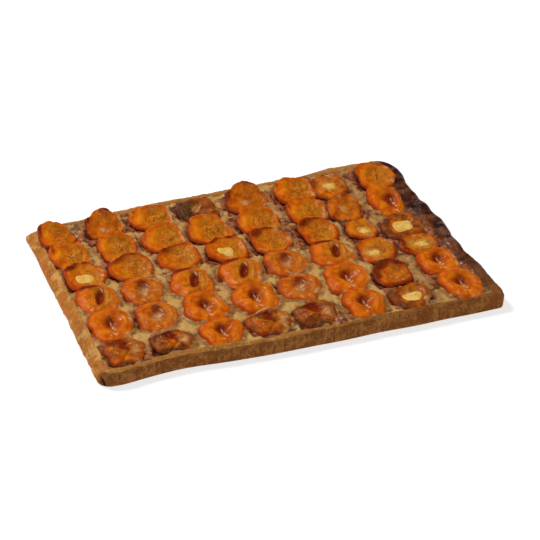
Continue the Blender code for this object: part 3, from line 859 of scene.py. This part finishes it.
def case_ring(inset, height, steps, wave_share=1.0):
    """A ring of the case with its waves and bumps, as points with heights."""
    points, normals, sides, stations = case_outline(inset, steps)
    reach = by_side(SIDE_WAVE, sides) * edge_wave(stations, SEED) * wave_share
    for side in range(4):
        along = points[:, 0] if side in (FRONT, BACK) else points[:, 1]
        share = np.maximum(1.0 - np.abs((sides - side + 2.0) % 4.0 - 2.0), 0.0)
        kept = 1.0 if side == FRONT else wave_share
        reach = reach + share * kept * edge_bump(side, along)
    moved = points + normals * reach[:, None]
    levels = height(moved, sides, stations) if callable(height) else np.full(len(points), height)
    return np.column_stack([moved, levels])


def case_rings(steps):
    """The case's main rings, from the floor's edge over the rim and down to the foot."""
    return np.stack([
        case_ring(FLOOR_EDGE, FLOOR_TOP, steps, 0.25),
        case_ring(FILL_LINE, FILL_LINE_HEIGHT, steps, 0.25),
        case_ring(BRIM, brim_level, steps, 0.5),
        case_ring(CREST, crest_level, steps, 0.7),
        case_ring(LIP, lip_level, steps),
        case_ring(WALL, WALL_HEIGHT, steps),
        case_ring(FOOT, 0.0, steps),
    ])


def case_middle():
    """Middle of the unshifted outline's box, which the solids have over the origin."""
    corners = case_rings(1)[..., :2].reshape(-1, 2)
    return (corners.min(axis=0) + corners.max(axis=0)) / 2.0


def curve_through(rings, counts):
    """Rings along smooth curves through the given ones: Catmull and Rom's cubic blend.

    The tangent at each ring is half the step between its neighbours. Each stretch is divided
    into the given count of steps.
    """
    tangents = np.gradient(rings, axis=0)
    out = []
    for i, count in enumerate(counts):
        t = np.linspace(0.0, 1.0, count, endpoint=False)[:, None, None]
        start, end = rings[i], rings[i + 1]
        ahead = (1 - t) ** 2 * (1 + 2 * t) * start + t * t * (3 - 2 * t) * end
        out.append(ahead + t * (1 - t) ** 2 * tangents[i] - t * t * (1 - t) * tangents[i + 1])
    out.append(rings[-1:])
    return np.concatenate(out)


def burnt_share(points):
    """How burnt the right edge is at each point: a dark margin with an uneven inner border."""
    x, y = points[..., 0], points[..., 1]
    border = BURNT_FROM + BURNT_WANDER * relief(points * (1.0, 1.0, 0.0), 22.0, 401, 3)
    border = border - BURNT_BULGE * np.exp(-(((y - BURNT_BULGE_AT) / 34.0) ** 2))
    dark = smooth_step((x - border) / 7.0)
    golden_corner = smooth_step((y + 139.0) / 9.0)
    return dark * mix(0.3, 1.0, golden_corner) * mix(0.55, 1.0, smooth_step((y + 120.0) / 60.0))


def burnt_creases(points):
    """Height of folds in the burnt juice, drawn out across the margin."""
    drawn_out = points * (0.5, 1.0, 0.0) + (0.0, 0.3, 0.0) * points[..., :1]
    return 0.9 * relief(drawn_out, 14.0, 402) + 2.0 * np.abs(relief(drawn_out, 24.0, 403))


def corner_crack(points):
    """1 along the upright crack where the pastry was folded at the near left corner."""
    radius = CORNER_RADII[FRONT]
    x, y = points[..., 0] + HALF_WIDTH - radius, points[..., 1] + half_depth(-HALF_WIDTH) - radius
    heading = np.degrees(np.arctan2(y, x)) + 1.6 * points[..., 2]
    out = smooth_step((np.hypot(x, y) - radius + 4.0) / 3.0)
    low = smooth_step((14.0 - points[..., 2]) / 8.0)
    return out * low * np.exp(-(((heading - CRACK_HEADING) / 9.0) ** 2)) * ((x < 0.0) & (y < 0.0))


def drawn_in(ring, share, height):
    """A copy of a ring, drawn in towards its middle to a share of its size, at one height."""
    middle = ring.mean(axis=0)
    copy = (ring - middle) * share + middle
    copy[:, 2] = height
    return copy


def make_crust(middle, finish):
    """The pastry case: smooth profile rings round the edge, roughened by baked relief."""
    grid = curve_through(case_rings(STEPS_PER_STATION), CURVE_STEPS)
    normals = ring_normals(grid)
    height = grid[..., 2]
    lumps = 0.45 * relief(grid, 16.0, 11) + 0.35 * relief(grid, 6.0, 12, 2)
    grains = 0.28 * relief(grid, 2.2, 13, 2)
    crumbs = 0.5 * np.maximum(relief(grid, 3.4, 14, 2), 0.0) * smooth_step((height - 12.0) / 4.0)
    above_foot = smooth_step(height / 2.0)
    burnt = burnt_share(grid)
    folds = burnt * smooth_step((height - 8.0) / 4.0) * burnt_creases(grid)
    grains = (grains + crumbs) * (1.0 - 0.8 * burnt)
    crack = corner_crack(grid)
    inwards = grid[..., 0] + HALF_WIDTH
    blisters = smooth_step((relief(grid, 8.0, 19, 2) - 0.2) / 0.14)
    blisters *= smooth_step((20.0 - inwards) / 4.0)
    blisters *= smooth_step((grid[..., 1] + HALF_DEPTH_LEFT - 6.0) / 6.0)
    out = (lumps + grains + folds + BLISTER_HEIGHT * blisters - CRACK_DEPTH * crack) * above_foot
    grid = grid + normals * out[..., None]
    # A lighter golden top on the rim, partly painted light, fading towards the near right.
    lip_foot = mix(14.6, 16.0, smooth_step((grid[..., 0] + 60.0) / 80.0))
    rim_top = smooth_step((grid[..., 2] - lip_foot + 1.3 * relief(grid, 6.0, 17, 2)) / 1.2)
    glaze = smooth_step((inwards - 4.5 + 3.4 * relief(grid * (1.0, 1.0, 0.0), 8.0, 18, 3)) / 1.5)
    glaze *= smooth_step((22.0 - inwards) / 4.0)
    glaze *= smooth_step((grid[..., 1] + HALF_DEPTH_LEFT - 8.0) / 5.0)
    fading = mix(1.0, 0.3, smooth_step((grid[..., 0] + 30.0) / 120.0) * (grid[..., 1] < 0.0))
    left = smooth_step((-HALF_WIDTH + BORDER_WIDTH - grid[..., 0]) / 5.0)
    left *= smooth_step((grid[..., 1] + half_depth(grid[..., 0]) - 3.0) / 7.0)
    masks = dict(
        top=np.maximum(rim_top * fading, left * smooth_step((grid[..., 2] - 4.0) / 4.0)),
        burnt=burnt_share(grid),
        crack=crack,
        border=left,
        sheen=smooth_step(relief(grid, 11.0, 15, 3) * 2.2) * left,
        glaze=glaze,
        blister=blisters,
    )
    grid[..., :2] -= middle
    inside = [drawn_in(grid[0], share, FLOOR_TOP) for share in (0.3, 0.65)]
    under = [drawn_in(grid[-1], share, 0.0) for share in (0.97, 0.5)]
    whole = np.concatenate([inside, grid, under])
    for mask, values in masks.items():
        masks[mask] = np.concatenate([values[:1]] * 2 + [values] + [values[-1:]] * 2)
    piece = ring_body("pastry_case", whole, (0.0, 0.0, FLOOR_TOP), (0.0, 0.0, 0.0), masks)
    piece.data.materials.append(finish)
    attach(piece, "root")
    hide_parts("crust")


# Apricot halves

def step_seen(right, away):
    """The step in plan for moves to the right and away as the camera sees them."""
    return right * SEEN_RIGHT + away * SEEN_AWAY


def oval_reach(angles, size, squareness):
    """Reach of an oval in each direction, an ellipse at squareness 2 and squarer above that.

    It is (|cos a / width|^s + |sin a / depth|^s)^(-1/s), with half sizes and squareness s.
    """
    across = np.abs(np.cos(angles) / size[0]) ** squareness
    along = np.abs(np.sin(angles) / size[1]) ** squareness
    return (across + along) ** (-1.0 / squareness)


def plan_halves():
    """Kind, place, half sizes, tilt and seed of every half, placed by its solid's box."""
    halves = {}
    for r, words in enumerate(PLANTING):
        for c, kind in enumerate(words.split()):
            low, high = (np.array(corner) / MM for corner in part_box(f"apricot_c{c + 1}_r{r + 1}"))
            draw = np.random.default_rng(SEED * 1000 + 10 * c + r)
            right, away, wider, deeper = NUDGES.get((c + 1, r + 1), (0.0, 0.0, 1.0, 1.0))
            nudge = step_seen(right, away - ROW_NEARER[r])
            halves[c + 1, r + 1] = dict(
                kind=kind,
                look=KINDS[kind],
                centre=(low[:2] + high[:2]) / 2.0 + nudge,
                half_size=(high[:2] - low[:2]) / 2.0,
                growth=COLUMN_GROWTH[c] * np.array([wider, deeper]),
                tilt=math.radians(ROW_TILT[r] * KINDS[kind]["lean"] + draw.uniform(-1.5, 1.5)),
                roll=math.radians(draw.uniform(-4.0, 4.0)),
                lift=ROW_LIFT[r] * KINDS[kind]["lift"] + draw.uniform(-0.3, 0.3),
                phase=draw.uniform(0.0, 2.0 * math.pi, 4),
                seed=int(draw.integers(1000, 9000)),
            )
    return halves


def half_reach(half, halves, angles):
    """Reach of a half in each direction: an uneven oval, pressed in where a neighbour is.

    An oval a little squarer than an ellipse is trimmed at headings as seen, in degrees, and
    gets slow lobes. Each neighbour cuts it just past the line midway between the two, by adding
    the inverse reaches at a high power.
    """
    reach = oval_reach(
        angles, half["half_size"] * half["look"]["growth"] * half["growth"], HALF_SQUARENESS
    )
    for heading, width, share in half["look"]["trims"]:
        off = (np.degrees(angles + STAND_ASIDE) - heading + 180.0) % 360.0 - 180.0
        reach *= 1.0 - share * np.exp(-((off / width) ** 2))
    for lobes, share, phase in zip(LOBES, LOBE_SHARES, half["phase"]):
        reach *= 1.0 + share * np.sin(lobes * angles + phase)
    inverse = reach**-PRESS_SHARPNESS
    for neighbour in halves.values():
        away = neighbour["centre"] - half["centre"]
        distance = math.hypot(*away)
        if 1.0 < distance < NEIGHBOUR_RANGE:
            facing = np.maximum(np.cos(angles - math.atan2(away[1], away[0])), 0.02)
            inverse = inverse + (facing / (distance / 2.0 + NEIGHBOUR_OVERLAP)) ** PRESS_SHARPNESS
    return inverse ** (-1.0 / PRESS_SHARPNESS)


def spots_at(spots, right, away):
    """Sum of turned bell-shaped spots at places to the right and away, in half sizes."""
    total = np.zeros(right.shape)
    for at_right, at_away, reach_right, reach_away, turn, amount in spots:
        c, s = math.cos(math.radians(turn)), math.sin(math.radians(turn))
        along = (c * (right - at_right) + s * (away - at_away)) / reach_right
        across = (c * (away - at_away) - s * (right - at_right)) / reach_away
        total += amount * np.exp(-(along**2 + across**2))
    return total


def cut_level(half, x, y):
    """Height of a half's tilted cut above the custard, rounded off where it would sink in."""
    plane = half["lift"] + math.tan(half["tilt"]) * y + math.tan(half["roll"]) * x
    return soft_floor(plane, LOWEST_RIM, 1.6)


def half_surface(half, angles):
    """Rings of a half from the bottom of the hole to below the custard, with zones.

    Shares of the reach grow from 0 over the hole's edge to the rim, then round the rim and
    down the skin, while the rings' middle moves from the hole's to the half's. Heights are
    those of the tilted cut plus a profile: the hole's steep wall, the cup or crown between
    hole and rim, fatter at the lower left, and a quarter round at the rim.
    """
    look, reach = half["look"], half["reach"]
    hole_x, hole_y = look["hole"]
    wobble = 1.0 + 0.12 * np.sin(2.0 * angles + half["phase"][2]) + 0.08 * np.sin(3.0 * angles)
    seen_right = angles + STAND_ASIDE
    hole = wobble / np.hypot(np.cos(seen_right) / hole_x, np.sin(seen_right) / hole_y)
    down = np.linspace(0.0, 1.0, HOLE_RINGS + 1)[1:, None]
    cut = np.linspace(0.0, 1.0, FLESH_RINGS + 1)[1:, None]
    over = np.linspace(0.0, 1.0, SKIN_RINGS + 1)[1:, None]
    quarter = np.minimum(over * 2.0, 1.0) * np.pi / 2.0
    sink = np.maximum(over * 2.0 - 1.0, 0.0)
    rim_at = look["rim_at"]
    turned = mix(rim_at, 1.0, np.sin(quarter)) - 0.16 * sink**1.5
    share = np.concatenate([down**0.8 * hole, mix(hole, rim_at, cut), turned + 0 * hole])
    fat_side = 0.5 + 0.5 * np.cos(angles - STAIN_HEADING)
    turning_up = cut ** (look["curve"] * (1.0 - FAT_LIP * fat_side))
    profile_cut = mix(look["lip"], look["rim"], turning_up) + look["crown"] * np.sin(np.pi * cut)
    profile = np.concatenate([
        mix(look["pit"], look["lip"], smooth_step(down)) + 0 * hole,
        profile_cut,
        look["rim"] - look["drop"] * (1.0 - np.cos(quarter)) + 0 * hole,
    ])
    pit_x, pit_y = step_seen(*look["pit_at"])
    stay = 1.0 - smooth_step((share - 0.2) / 0.7)
    x = share * reach * np.cos(angles) + stay * pit_x * half["half_size"][0]
    y = share * reach * np.sin(angles) + stay * pit_y * half["half_size"][1]
    right = (x * SEEN_RIGHT[0] + y * SEEN_RIGHT[1]) / half["half_size"][0]
    away = (x * SEEN_AWAY[0] + y * SEEN_AWAY[1]) / half["half_size"][1]
    level = cut_level(half, x, y) + profile + spots_at(look["bumps"], right, away)
    sinking = np.concatenate([0.0 * down, 0.0 * cut, sink])
    level = mix(soft_floor(level, -2.4, 0.5), -SUNK_BELOW, smooth_step(sinking))
    zones = np.concatenate([down, 1.0 + cut, 2.0 + over]) + 0 * hole
    return np.stack([x, y, level], axis=-1), zones, right, away


def make_half(key, halves, finish):
    """One apricot half with wrinkled rim, fibrous flesh, stains, painted shade and glints, as one
    closed body.
    """
    half = halves[key]
    look, seed = half["look"], half["seed"]
    angles = np.arange(HALF_ANGLES) * 2.0 * np.pi / HALF_ANGLES
    half["reach"] = half_reach(half, halves, angles)
    grid, zones, right, away = half_surface(half, angles)
    cupped = look["lip"] < CUPPED_BELOW
    lumps = ROUGH_LUMPS if cupped or look["brown"] > 0.3 else SMOOTH_LUMPS
    own = grid + (0.0, 0.0, 50.0 * (seed % 97))
    around = np.stack([np.cos(angles) + 0 * zones, np.sin(angles) + 0 * zones, 0.3 * zones], axis=-1)
    on_cut = smooth_step((zones - 0.8) / 0.4) * smooth_step((2.2 - zones) / 0.4)
    on_rim = smooth_step((zones - 1.7) / 0.3)
    rise = lumps * relief(own, 8.0, seed + 1) + 0.25 * relief(own, 2.6, seed + 2, 2)
    rise += 0.12 * relief(around * 7.0, 1.0, seed, 2) * on_cut
    gritty = np.exp(-(((right + 0.02) / 0.36) ** 2 + ((away - 0.12) / 0.42) ** 2)) * cupped
    if cupped:
        drawn_out = [right * half["half_size"][0] / 2.4, away * half["half_size"][1] / 9.0]
        fibres = relief(np.stack([*drawn_out, 0.0 * right + seed], axis=-1), 1.0, seed + 6, 2)
        rise += (0.3 * fibres + 0.5 * gritty * relief(own, 1.8, seed + 8)) * on_cut
    rise += (0.9 if cupped else 0.35) * relief(around * 4.5, 1.0, seed + 5, 2) * on_rim
    grid = grid + ring_normals(grid) * rise[..., None]
    patches = relief(own, 6.0, seed + 3, 3)
    dark = spots_at(look["dark"], right, away)
    pale = spots_at(look["pale"], right, away)
    in_cup = smooth_step((2.05 - zones) / 0.5)
    left_side = smooth_step(0.5 - 0.9 * right - 0.5 * away)
    red_rim = look["red"] * smooth_step((zones - 1.8) / 0.25 + 0.6 * patches * on_rim)
    # On the left and near side the skin is darkened red: its own red skin and painted shade.
    red_skin_shade = 0.75 * left_side * smooth_step((zones - 2.02) / 0.22 + 0.5 * patches * on_rim)
    char = spots_at(look["char"], right, away) * 1.3 + 0.3 * patches * (len(look["char"]) > 0)
    milk = look["milk"] * smooth_step(0.7 + patches)
    milk = milk + smooth_step(pale * 1.25 + 0.4 * patches * pale - 0.15)
    milky_rim = smooth_step(2.4 * relief(own, 10.0, seed + 7, 3) + 0.5 * right - 0.55)
    running = look["juice"] * left_side * smooth_step((zones - 2.2) / 0.3 + 0.8 * patches)
    # The lowest skin is darkened: juice and a painted shadow where it meets the custard.
    soaked_and_shaded = (0.3 + 0.5 * left_side) * smooth_step((zones - 2.34) / 0.22 + 0.5 * patches)
    glossy = (1.0 - 0.75 * left_side) * (0.5 if cupped else 0.85)
    # Here dark is partly painted shade, glow painted light and glint a painted highlight.
    masks = dict(
        gloss=smooth_step((2.25 - zones) / 0.5) * glossy,
        inner=look["gold"] * in_cup * smooth_step(0.75 + 0.8 * patches + 0.9 * right + 0.3 * away),
        hole=smooth_step((1.05 - zones) / 0.6) * (0.2 if cupped else 0.6),
        dark=smooth_step(dark * 1.3 + 0.5 * patches * dark - 0.15),
        rim=np.maximum(red_rim, red_skin_shade),
        brown=look["brown"] * smooth_step(0.65 + 0.9 * patches + 0.25 * on_rim),
        grit=gritty,
        glow=smooth_step(spots_at(look["glow"], right, away) + 0.4 * patches * cupped - 0.1),
        char=smooth_step(char - 0.2),
        glint=smooth_step(spots_at(look["glint"], right, away) * 1.3 - 0.2),
        milk=np.maximum(milk, 0.8 * on_rim * milky_rim),
        juice=np.maximum(0.8 * running, soaked_and_shaded),
    )
    grid[..., :2] += half["centre"]
    grid[..., 2] += CUSTARD_TOP
    bottom = np.array([*half["centre"], CUSTARD_TOP - SUNK_BELOW])
    piece = ring_body(f"half_c{key[0]}_r{key[1]}", grid, grid[0].mean(axis=0), bottom, masks)
    piece.data.materials.append(finish)
    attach(piece, "root")
    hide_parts(f"apricot_c{key[0]}_r{key[1]}")
    "browned_apricot" if half["kind"] in BROWNED_KINDS else "apricot"


def make_pool(key, halves, finish):
    """Custard pooled in a half: a level, softly domed patch with an uneven squarish outline."""
    half = halves[key]
    low, high = (np.array(corner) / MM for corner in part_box(f"pool_c{key[0]}_r{key[1]}"))
    angles = np.arange(POOL_ANGLES) * 2.0 * np.pi / POOL_ANGLES
    reach = oval_reach(angles, (high[:2] - low[:2]) / 2.0 * half["look"]["pool"], POOL_SQUARENESS)
    waves = 0.06 * np.sin(3.0 * angles + half["phase"][0])
    waves += 0.04 * np.sin(5.0 * angles + half["phase"][1])
    reach *= 1.0 + waves
    share = np.concatenate([np.linspace(0.05, 1.0, POOL_RINGS), [1.0, 0.95]])[:, None]
    drop = np.linspace(0.0, 1.0, POOL_RINGS) ** 4
    drop = POOL_DIP * np.append(drop, [1.0, 1.0]) + np.append(0.0 * drop, [0.8, 1.6])
    middle = (low + high)[:2] / 2.0 + step_seen(*half["look"]["pool_at"])
    x = middle[0] + share * reach * np.cos(angles)
    y = middle[1] + share * reach * np.sin(angles)
    plane = cut_level(half, x - half["centre"][0], y - half["centre"][1])
    level = CUSTARD_TOP + plane + half["look"]["lip"] + POOL_RISE - drop[:, None]
    grid = np.stack([x, y, level], axis=-1)
    lumps = 0.3 * relief(grid, 4.0, half["seed"], 2) + 0.12 * relief(grid, 1.4, half["seed"] + 2)
    grid[..., 2] += lumps
    patches = relief(grid, 5.0, half["seed"] + 1, 2)
    edge = smooth_step((share - 0.8) / 0.2) + 0 * angles
    soft = 0.6 * edge + 0.2 * patches
    if half["kind"] in SOFT_POOL_KINDS:
        soft = 0.1 + 0.9 * smooth_step(share * 1.15 + 0.2 * patches - 0.05)
    masks = dict(toast=soft, juice=0 * edge, burnt=0 * edge, puff=1.0 + 0 * edge, bright=0 * edge)
    name = f"custard_in_c{key[0]}_r{key[1]}"
    piece = ring_body(name, grid, grid[0].mean(axis=0), grid[-1].mean(axis=0), masks)
    piece.data.materials.append(finish)
    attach(piece, "root")
    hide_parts(f"pool_c{key[0]}_r{key[1]}")


# Custard

def fruit_distance(x, y, halves):
    """Distance to the nearest half's outline, negative inside, its heading and its juice."""
    nearest = np.full(x.shape, 1e3)
    heading = np.zeros(x.shape)
    juice = np.zeros(x.shape)
    angles = np.arange(HALF_ANGLES + 1) * 2.0 * np.pi / HALF_ANGLES
    for half in halves.values():
        dx, dy = x - half["centre"][0], y - half["centre"][1]
        turn = np.arctan2(dy, dx)
        reach = np.interp(turn % (2.0 * np.pi), angles, np.append(half["reach"], half["reach"][0]))
        distance = np.hypot(dx, dy) - reach
        closer = distance < nearest
        nearest = np.where(closer, distance, nearest)
        heading = np.where(closer, turn, heading)
        juice = np.where(closer, half["look"]["juice"], juice)
    return nearest, heading, juice


def make_custard(halves, middle, finish):
    """The custard: a height field with baked bubbles, sunk, stained and given a painted shadow where
    it meets fruit.
    """
    left = -HALF_WIDTH + FILL_LINE[LEFT] - CUSTARD_TUCK
    right = HALF_WIDTH - FILL_LINE[RIGHT] + CUSTARD_TUCK
    columns = int((right - left) / CUSTARD_STEP)
    rows = int(2.0 * HALF_DEPTH_LEFT / CUSTARD_STEP)
    x = np.linspace(left, right, columns)[:, None] + np.zeros(rows)
    near = -(half_depth(x) + edge_bump(FRONT, x) - FILL_LINE[FRONT] + CUSTARD_TUCK)
    far = half_depth(x) + 0.25 * edge_bump(BACK, x) - FILL_LINE[BACK] + CUSTARD_TUCK
    y = mix(near, far, np.linspace(0.0, 1.0, rows))
    flat = np.stack([x, y, 0 * x], axis=-1)
    distance, heading, juice = fruit_distance(x - middle[0], y - middle[1], halves)
    outside = np.maximum(distance, 0.0)
    to_edge = np.minimum.reduce([x - left, right - x, y - near, far - y])
    burnt = burnt_share(flat)
    stain_side = 0.5 + 0.5 * np.cos(heading - STAIN_HEADING)
    patches = relief(flat, 12.0, 55, 3)
    wet = juice * (0.35 + 1.4 * stain_side) * np.exp(-outside / 10.0) + 1.3 * patches - 0.15
    wet = smooth_step(wet + 0.3 * smooth_step((x - 80.0) / 40.0))
    charred = juice * stain_side * np.exp(-outside / 6.0) + 1.7 * relief(flat, 13.0, 59, 2)
    charred = smooth_step((charred - 0.85) / 0.3)
    charred *= np.maximum(smooth_step((y + 30.0) / 60.0), smooth_step((-y - 90.0) / 15.0))
    scorched = smooth_step((x - 142.0) / 30.0 + 0.8 * patches) * smooth_step((y + 150.0) / 60.0)
    z = CUSTARD_TOP + CUSTARD_SWELL * smooth_step(outside / 7.0)
    z += 0.7 * relief(flat, 20.0, 51) + 0.7 * relief(flat, 7.0, 52, 2)
    z += 0.14 * relief(flat, 2.4, 53, 2) + wet * 0.3 * relief(flat, 3.4, 58, 2)
    z += (1.0 - wet) * CUSTARD_CLIMB * np.exp(-outside / 1.8)
    z -= wet * WET_DIP * np.exp(-outside / 1.2)
    wrinkles = np.abs(relief(flat * (1.0, 0.6, 1.0), 6.5, 57, 2))
    puff = smooth_step(wrinkles / 0.42)
    z += PUFF_HEIGHT * (puff - 0.5)
    z += 0.8 * np.exp(-to_edge / 2.0)
    z += burnt * burnt_creases(flat) - corner_dip(x, y)
    z -= DIP_UNDER_FRUIT * smooth_step((-distance - 1.5) / 3.0)
    far_half = smooth_step((y - 5.0) / 50.0)
    bright = smooth_step((outside - 2.0) / 4.0 + 0.5 * relief(flat, 9.0, 60, 2))
    bright *= mix(1.0, 0.75, far_half) * (1.0 - 0.75 * wet)
    bright *= mix(1.0, 0.35, smooth_step((x - 90.0) / 30.0))
    toasted = mix(-0.05, 0.3, far_half) + 0.9 * relief(flat, 24.0, 56, 2) + 1.2 * patches
    gap = np.exp(-(((y - near - GAP_FROM_EDGE) / 2.2) ** 2)) * (outside < 6.0)
    gap *= smooth_step(2.2 * relief(flat, 26.0, 61, 2) + 0.5)
    burnt = np.maximum(burnt, 0.85 * gap)
    z -= GAP_DEPTH * gap
    masks = dict(
        bright=bright * (1.0 - scorched),
        toast=np.maximum(0.8 * smooth_step(toasted), scorched * 0.9),
        # Beside the juice, a thin dark ring at every half's foot: painted shadow.
        juice=np.maximum(wet, np.exp(-((outside / 1.1) ** 2)) * 0.35),
        burnt=np.maximum(burnt, 0.85 * charred),
        puff=puff,
    )
    grid = np.stack([x - middle[0], y - middle[1], z], axis=-1)
    piece = slab_body("custard_layer", grid, CUSTARD_UNDERSIDE, masks)
    piece.data.materials.append(finish)
    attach(piece, "root")
    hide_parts("custard")


# Stage

def make_floor():
    """A plain pale floor: a flat grid made into a thin slab, with a faint change of tone."""
    across = np.linspace(-FLOOR_REACH, FLOOR_REACH, 21)
    x, y = np.meshgrid(across, across, indexing="ij")
    grid = np.stack([x, y, 0 * x - 0.02], axis=-1)
    floor = slab_body("floor", grid, -FLOOR_DEPTH, {})
    look = Finish("pale_floor", Roughness=0.9)
    tone = look.noise(400.0)
    look.feed("Base Color", look.blend((0.60, 0.60, 0.60, 1.0), (0.62, 0.62, 0.62, 1.0), tone))
    look.shader.inputs["Specular IOR Level"].default_value = 0.0
    look.shader.inputs["Emission Color"].default_value = (1.0, 1.0, 1.0, 1.0)
    look.shader.inputs["Emission Strength"].default_value = FLOOR_GLOW
    floor.data.materials.append(look.material)


def aim(thing, place, target):
    """Put a lamp or camera at a place, in millimetres, looking at the target."""
    thing.location = Vector(place) * MM
    thing.rotation_euler = (Vector(target) - Vector(place)).to_track_quat("-Z", "Y").to_euler()


def make_light(name, place, size, power):
    """A soft square lamp that looks at the middle of the tart."""
    lamp = bpy.data.lights.new(name, "AREA")
    lamp.size = size * MM
    lamp.energy = power
    holder = bpy.data.objects.new(name, lamp)
    bpy.context.scene.collection.objects.link(holder)
    aim(holder, place, (0.0, 0.0, 10.0))


def make_studio():
    """Soft white surroundings, a broad lamp behind and above, and a weak one at the side."""
    world = bpy.data.worlds.new("studio")
    world.use_nodes = True
    sky = world.node_tree.nodes["Background"]
    sky.inputs["Color"].default_value = (1.0, 1.0, 1.0, 1.0)
    sky.inputs["Strength"].default_value = SKY_STRENGTH
    scene = bpy.context.scene
    scene.world = world
    scene.view_settings.view_transform = "Standard"
    make_light("key", (-1200.0, 1500.0, 2700.0), 800.0, KEY_POWER)
    make_light("fill", (400.0, -2300.0, 2600.0), 500.0, FILL_POWER)


def make_camera():
    """The camera of the photo: its height, distance and lens, moved within its own picture."""
    a, e = CAMERA_AZIMUTH, CAMERA_ELEVATION
    back = np.array([math.sin(a) * math.cos(e), -math.cos(a) * math.cos(e), math.sin(e)])
    right = np.array([math.cos(a), math.sin(a), 0.0])
    up = np.cross(back, right)
    target = right * CAMERA_AIM[0] + up * CAMERA_AIM[1] + np.array([*CAMERA_OFFSET, 0.0])
    lens = bpy.data.cameras.new("camera")
    lens.lens = CAMERA_LENS
    lens.sensor_width = 36.0
    holder = bpy.data.objects.new("camera", lens)
    bpy.context.scene.collection.objects.link(holder)
    aim(holder, tuple(target + back * CAMERA_DISTANCE), tuple(target))
    bpy.context.scene.camera = holder


def main():
    """Set up the camera and studio, then make every piece."""
    middle = case_middle()
    make_camera()
    make_studio()
    make_floor()
    make_crust(middle, pastry_finish())
    halves = plan_halves()
    apricot = apricot_finish()
    pool = custard_finish("pooled_custard", True)
    for key, half in halves.items():
        make_half(key, halves, apricot)
        if half["kind"] in POOLED_KINDS:
            make_pool(key, halves, pool)
    make_custard(halves, middle, custard_finish("baked_custard", False))


main()
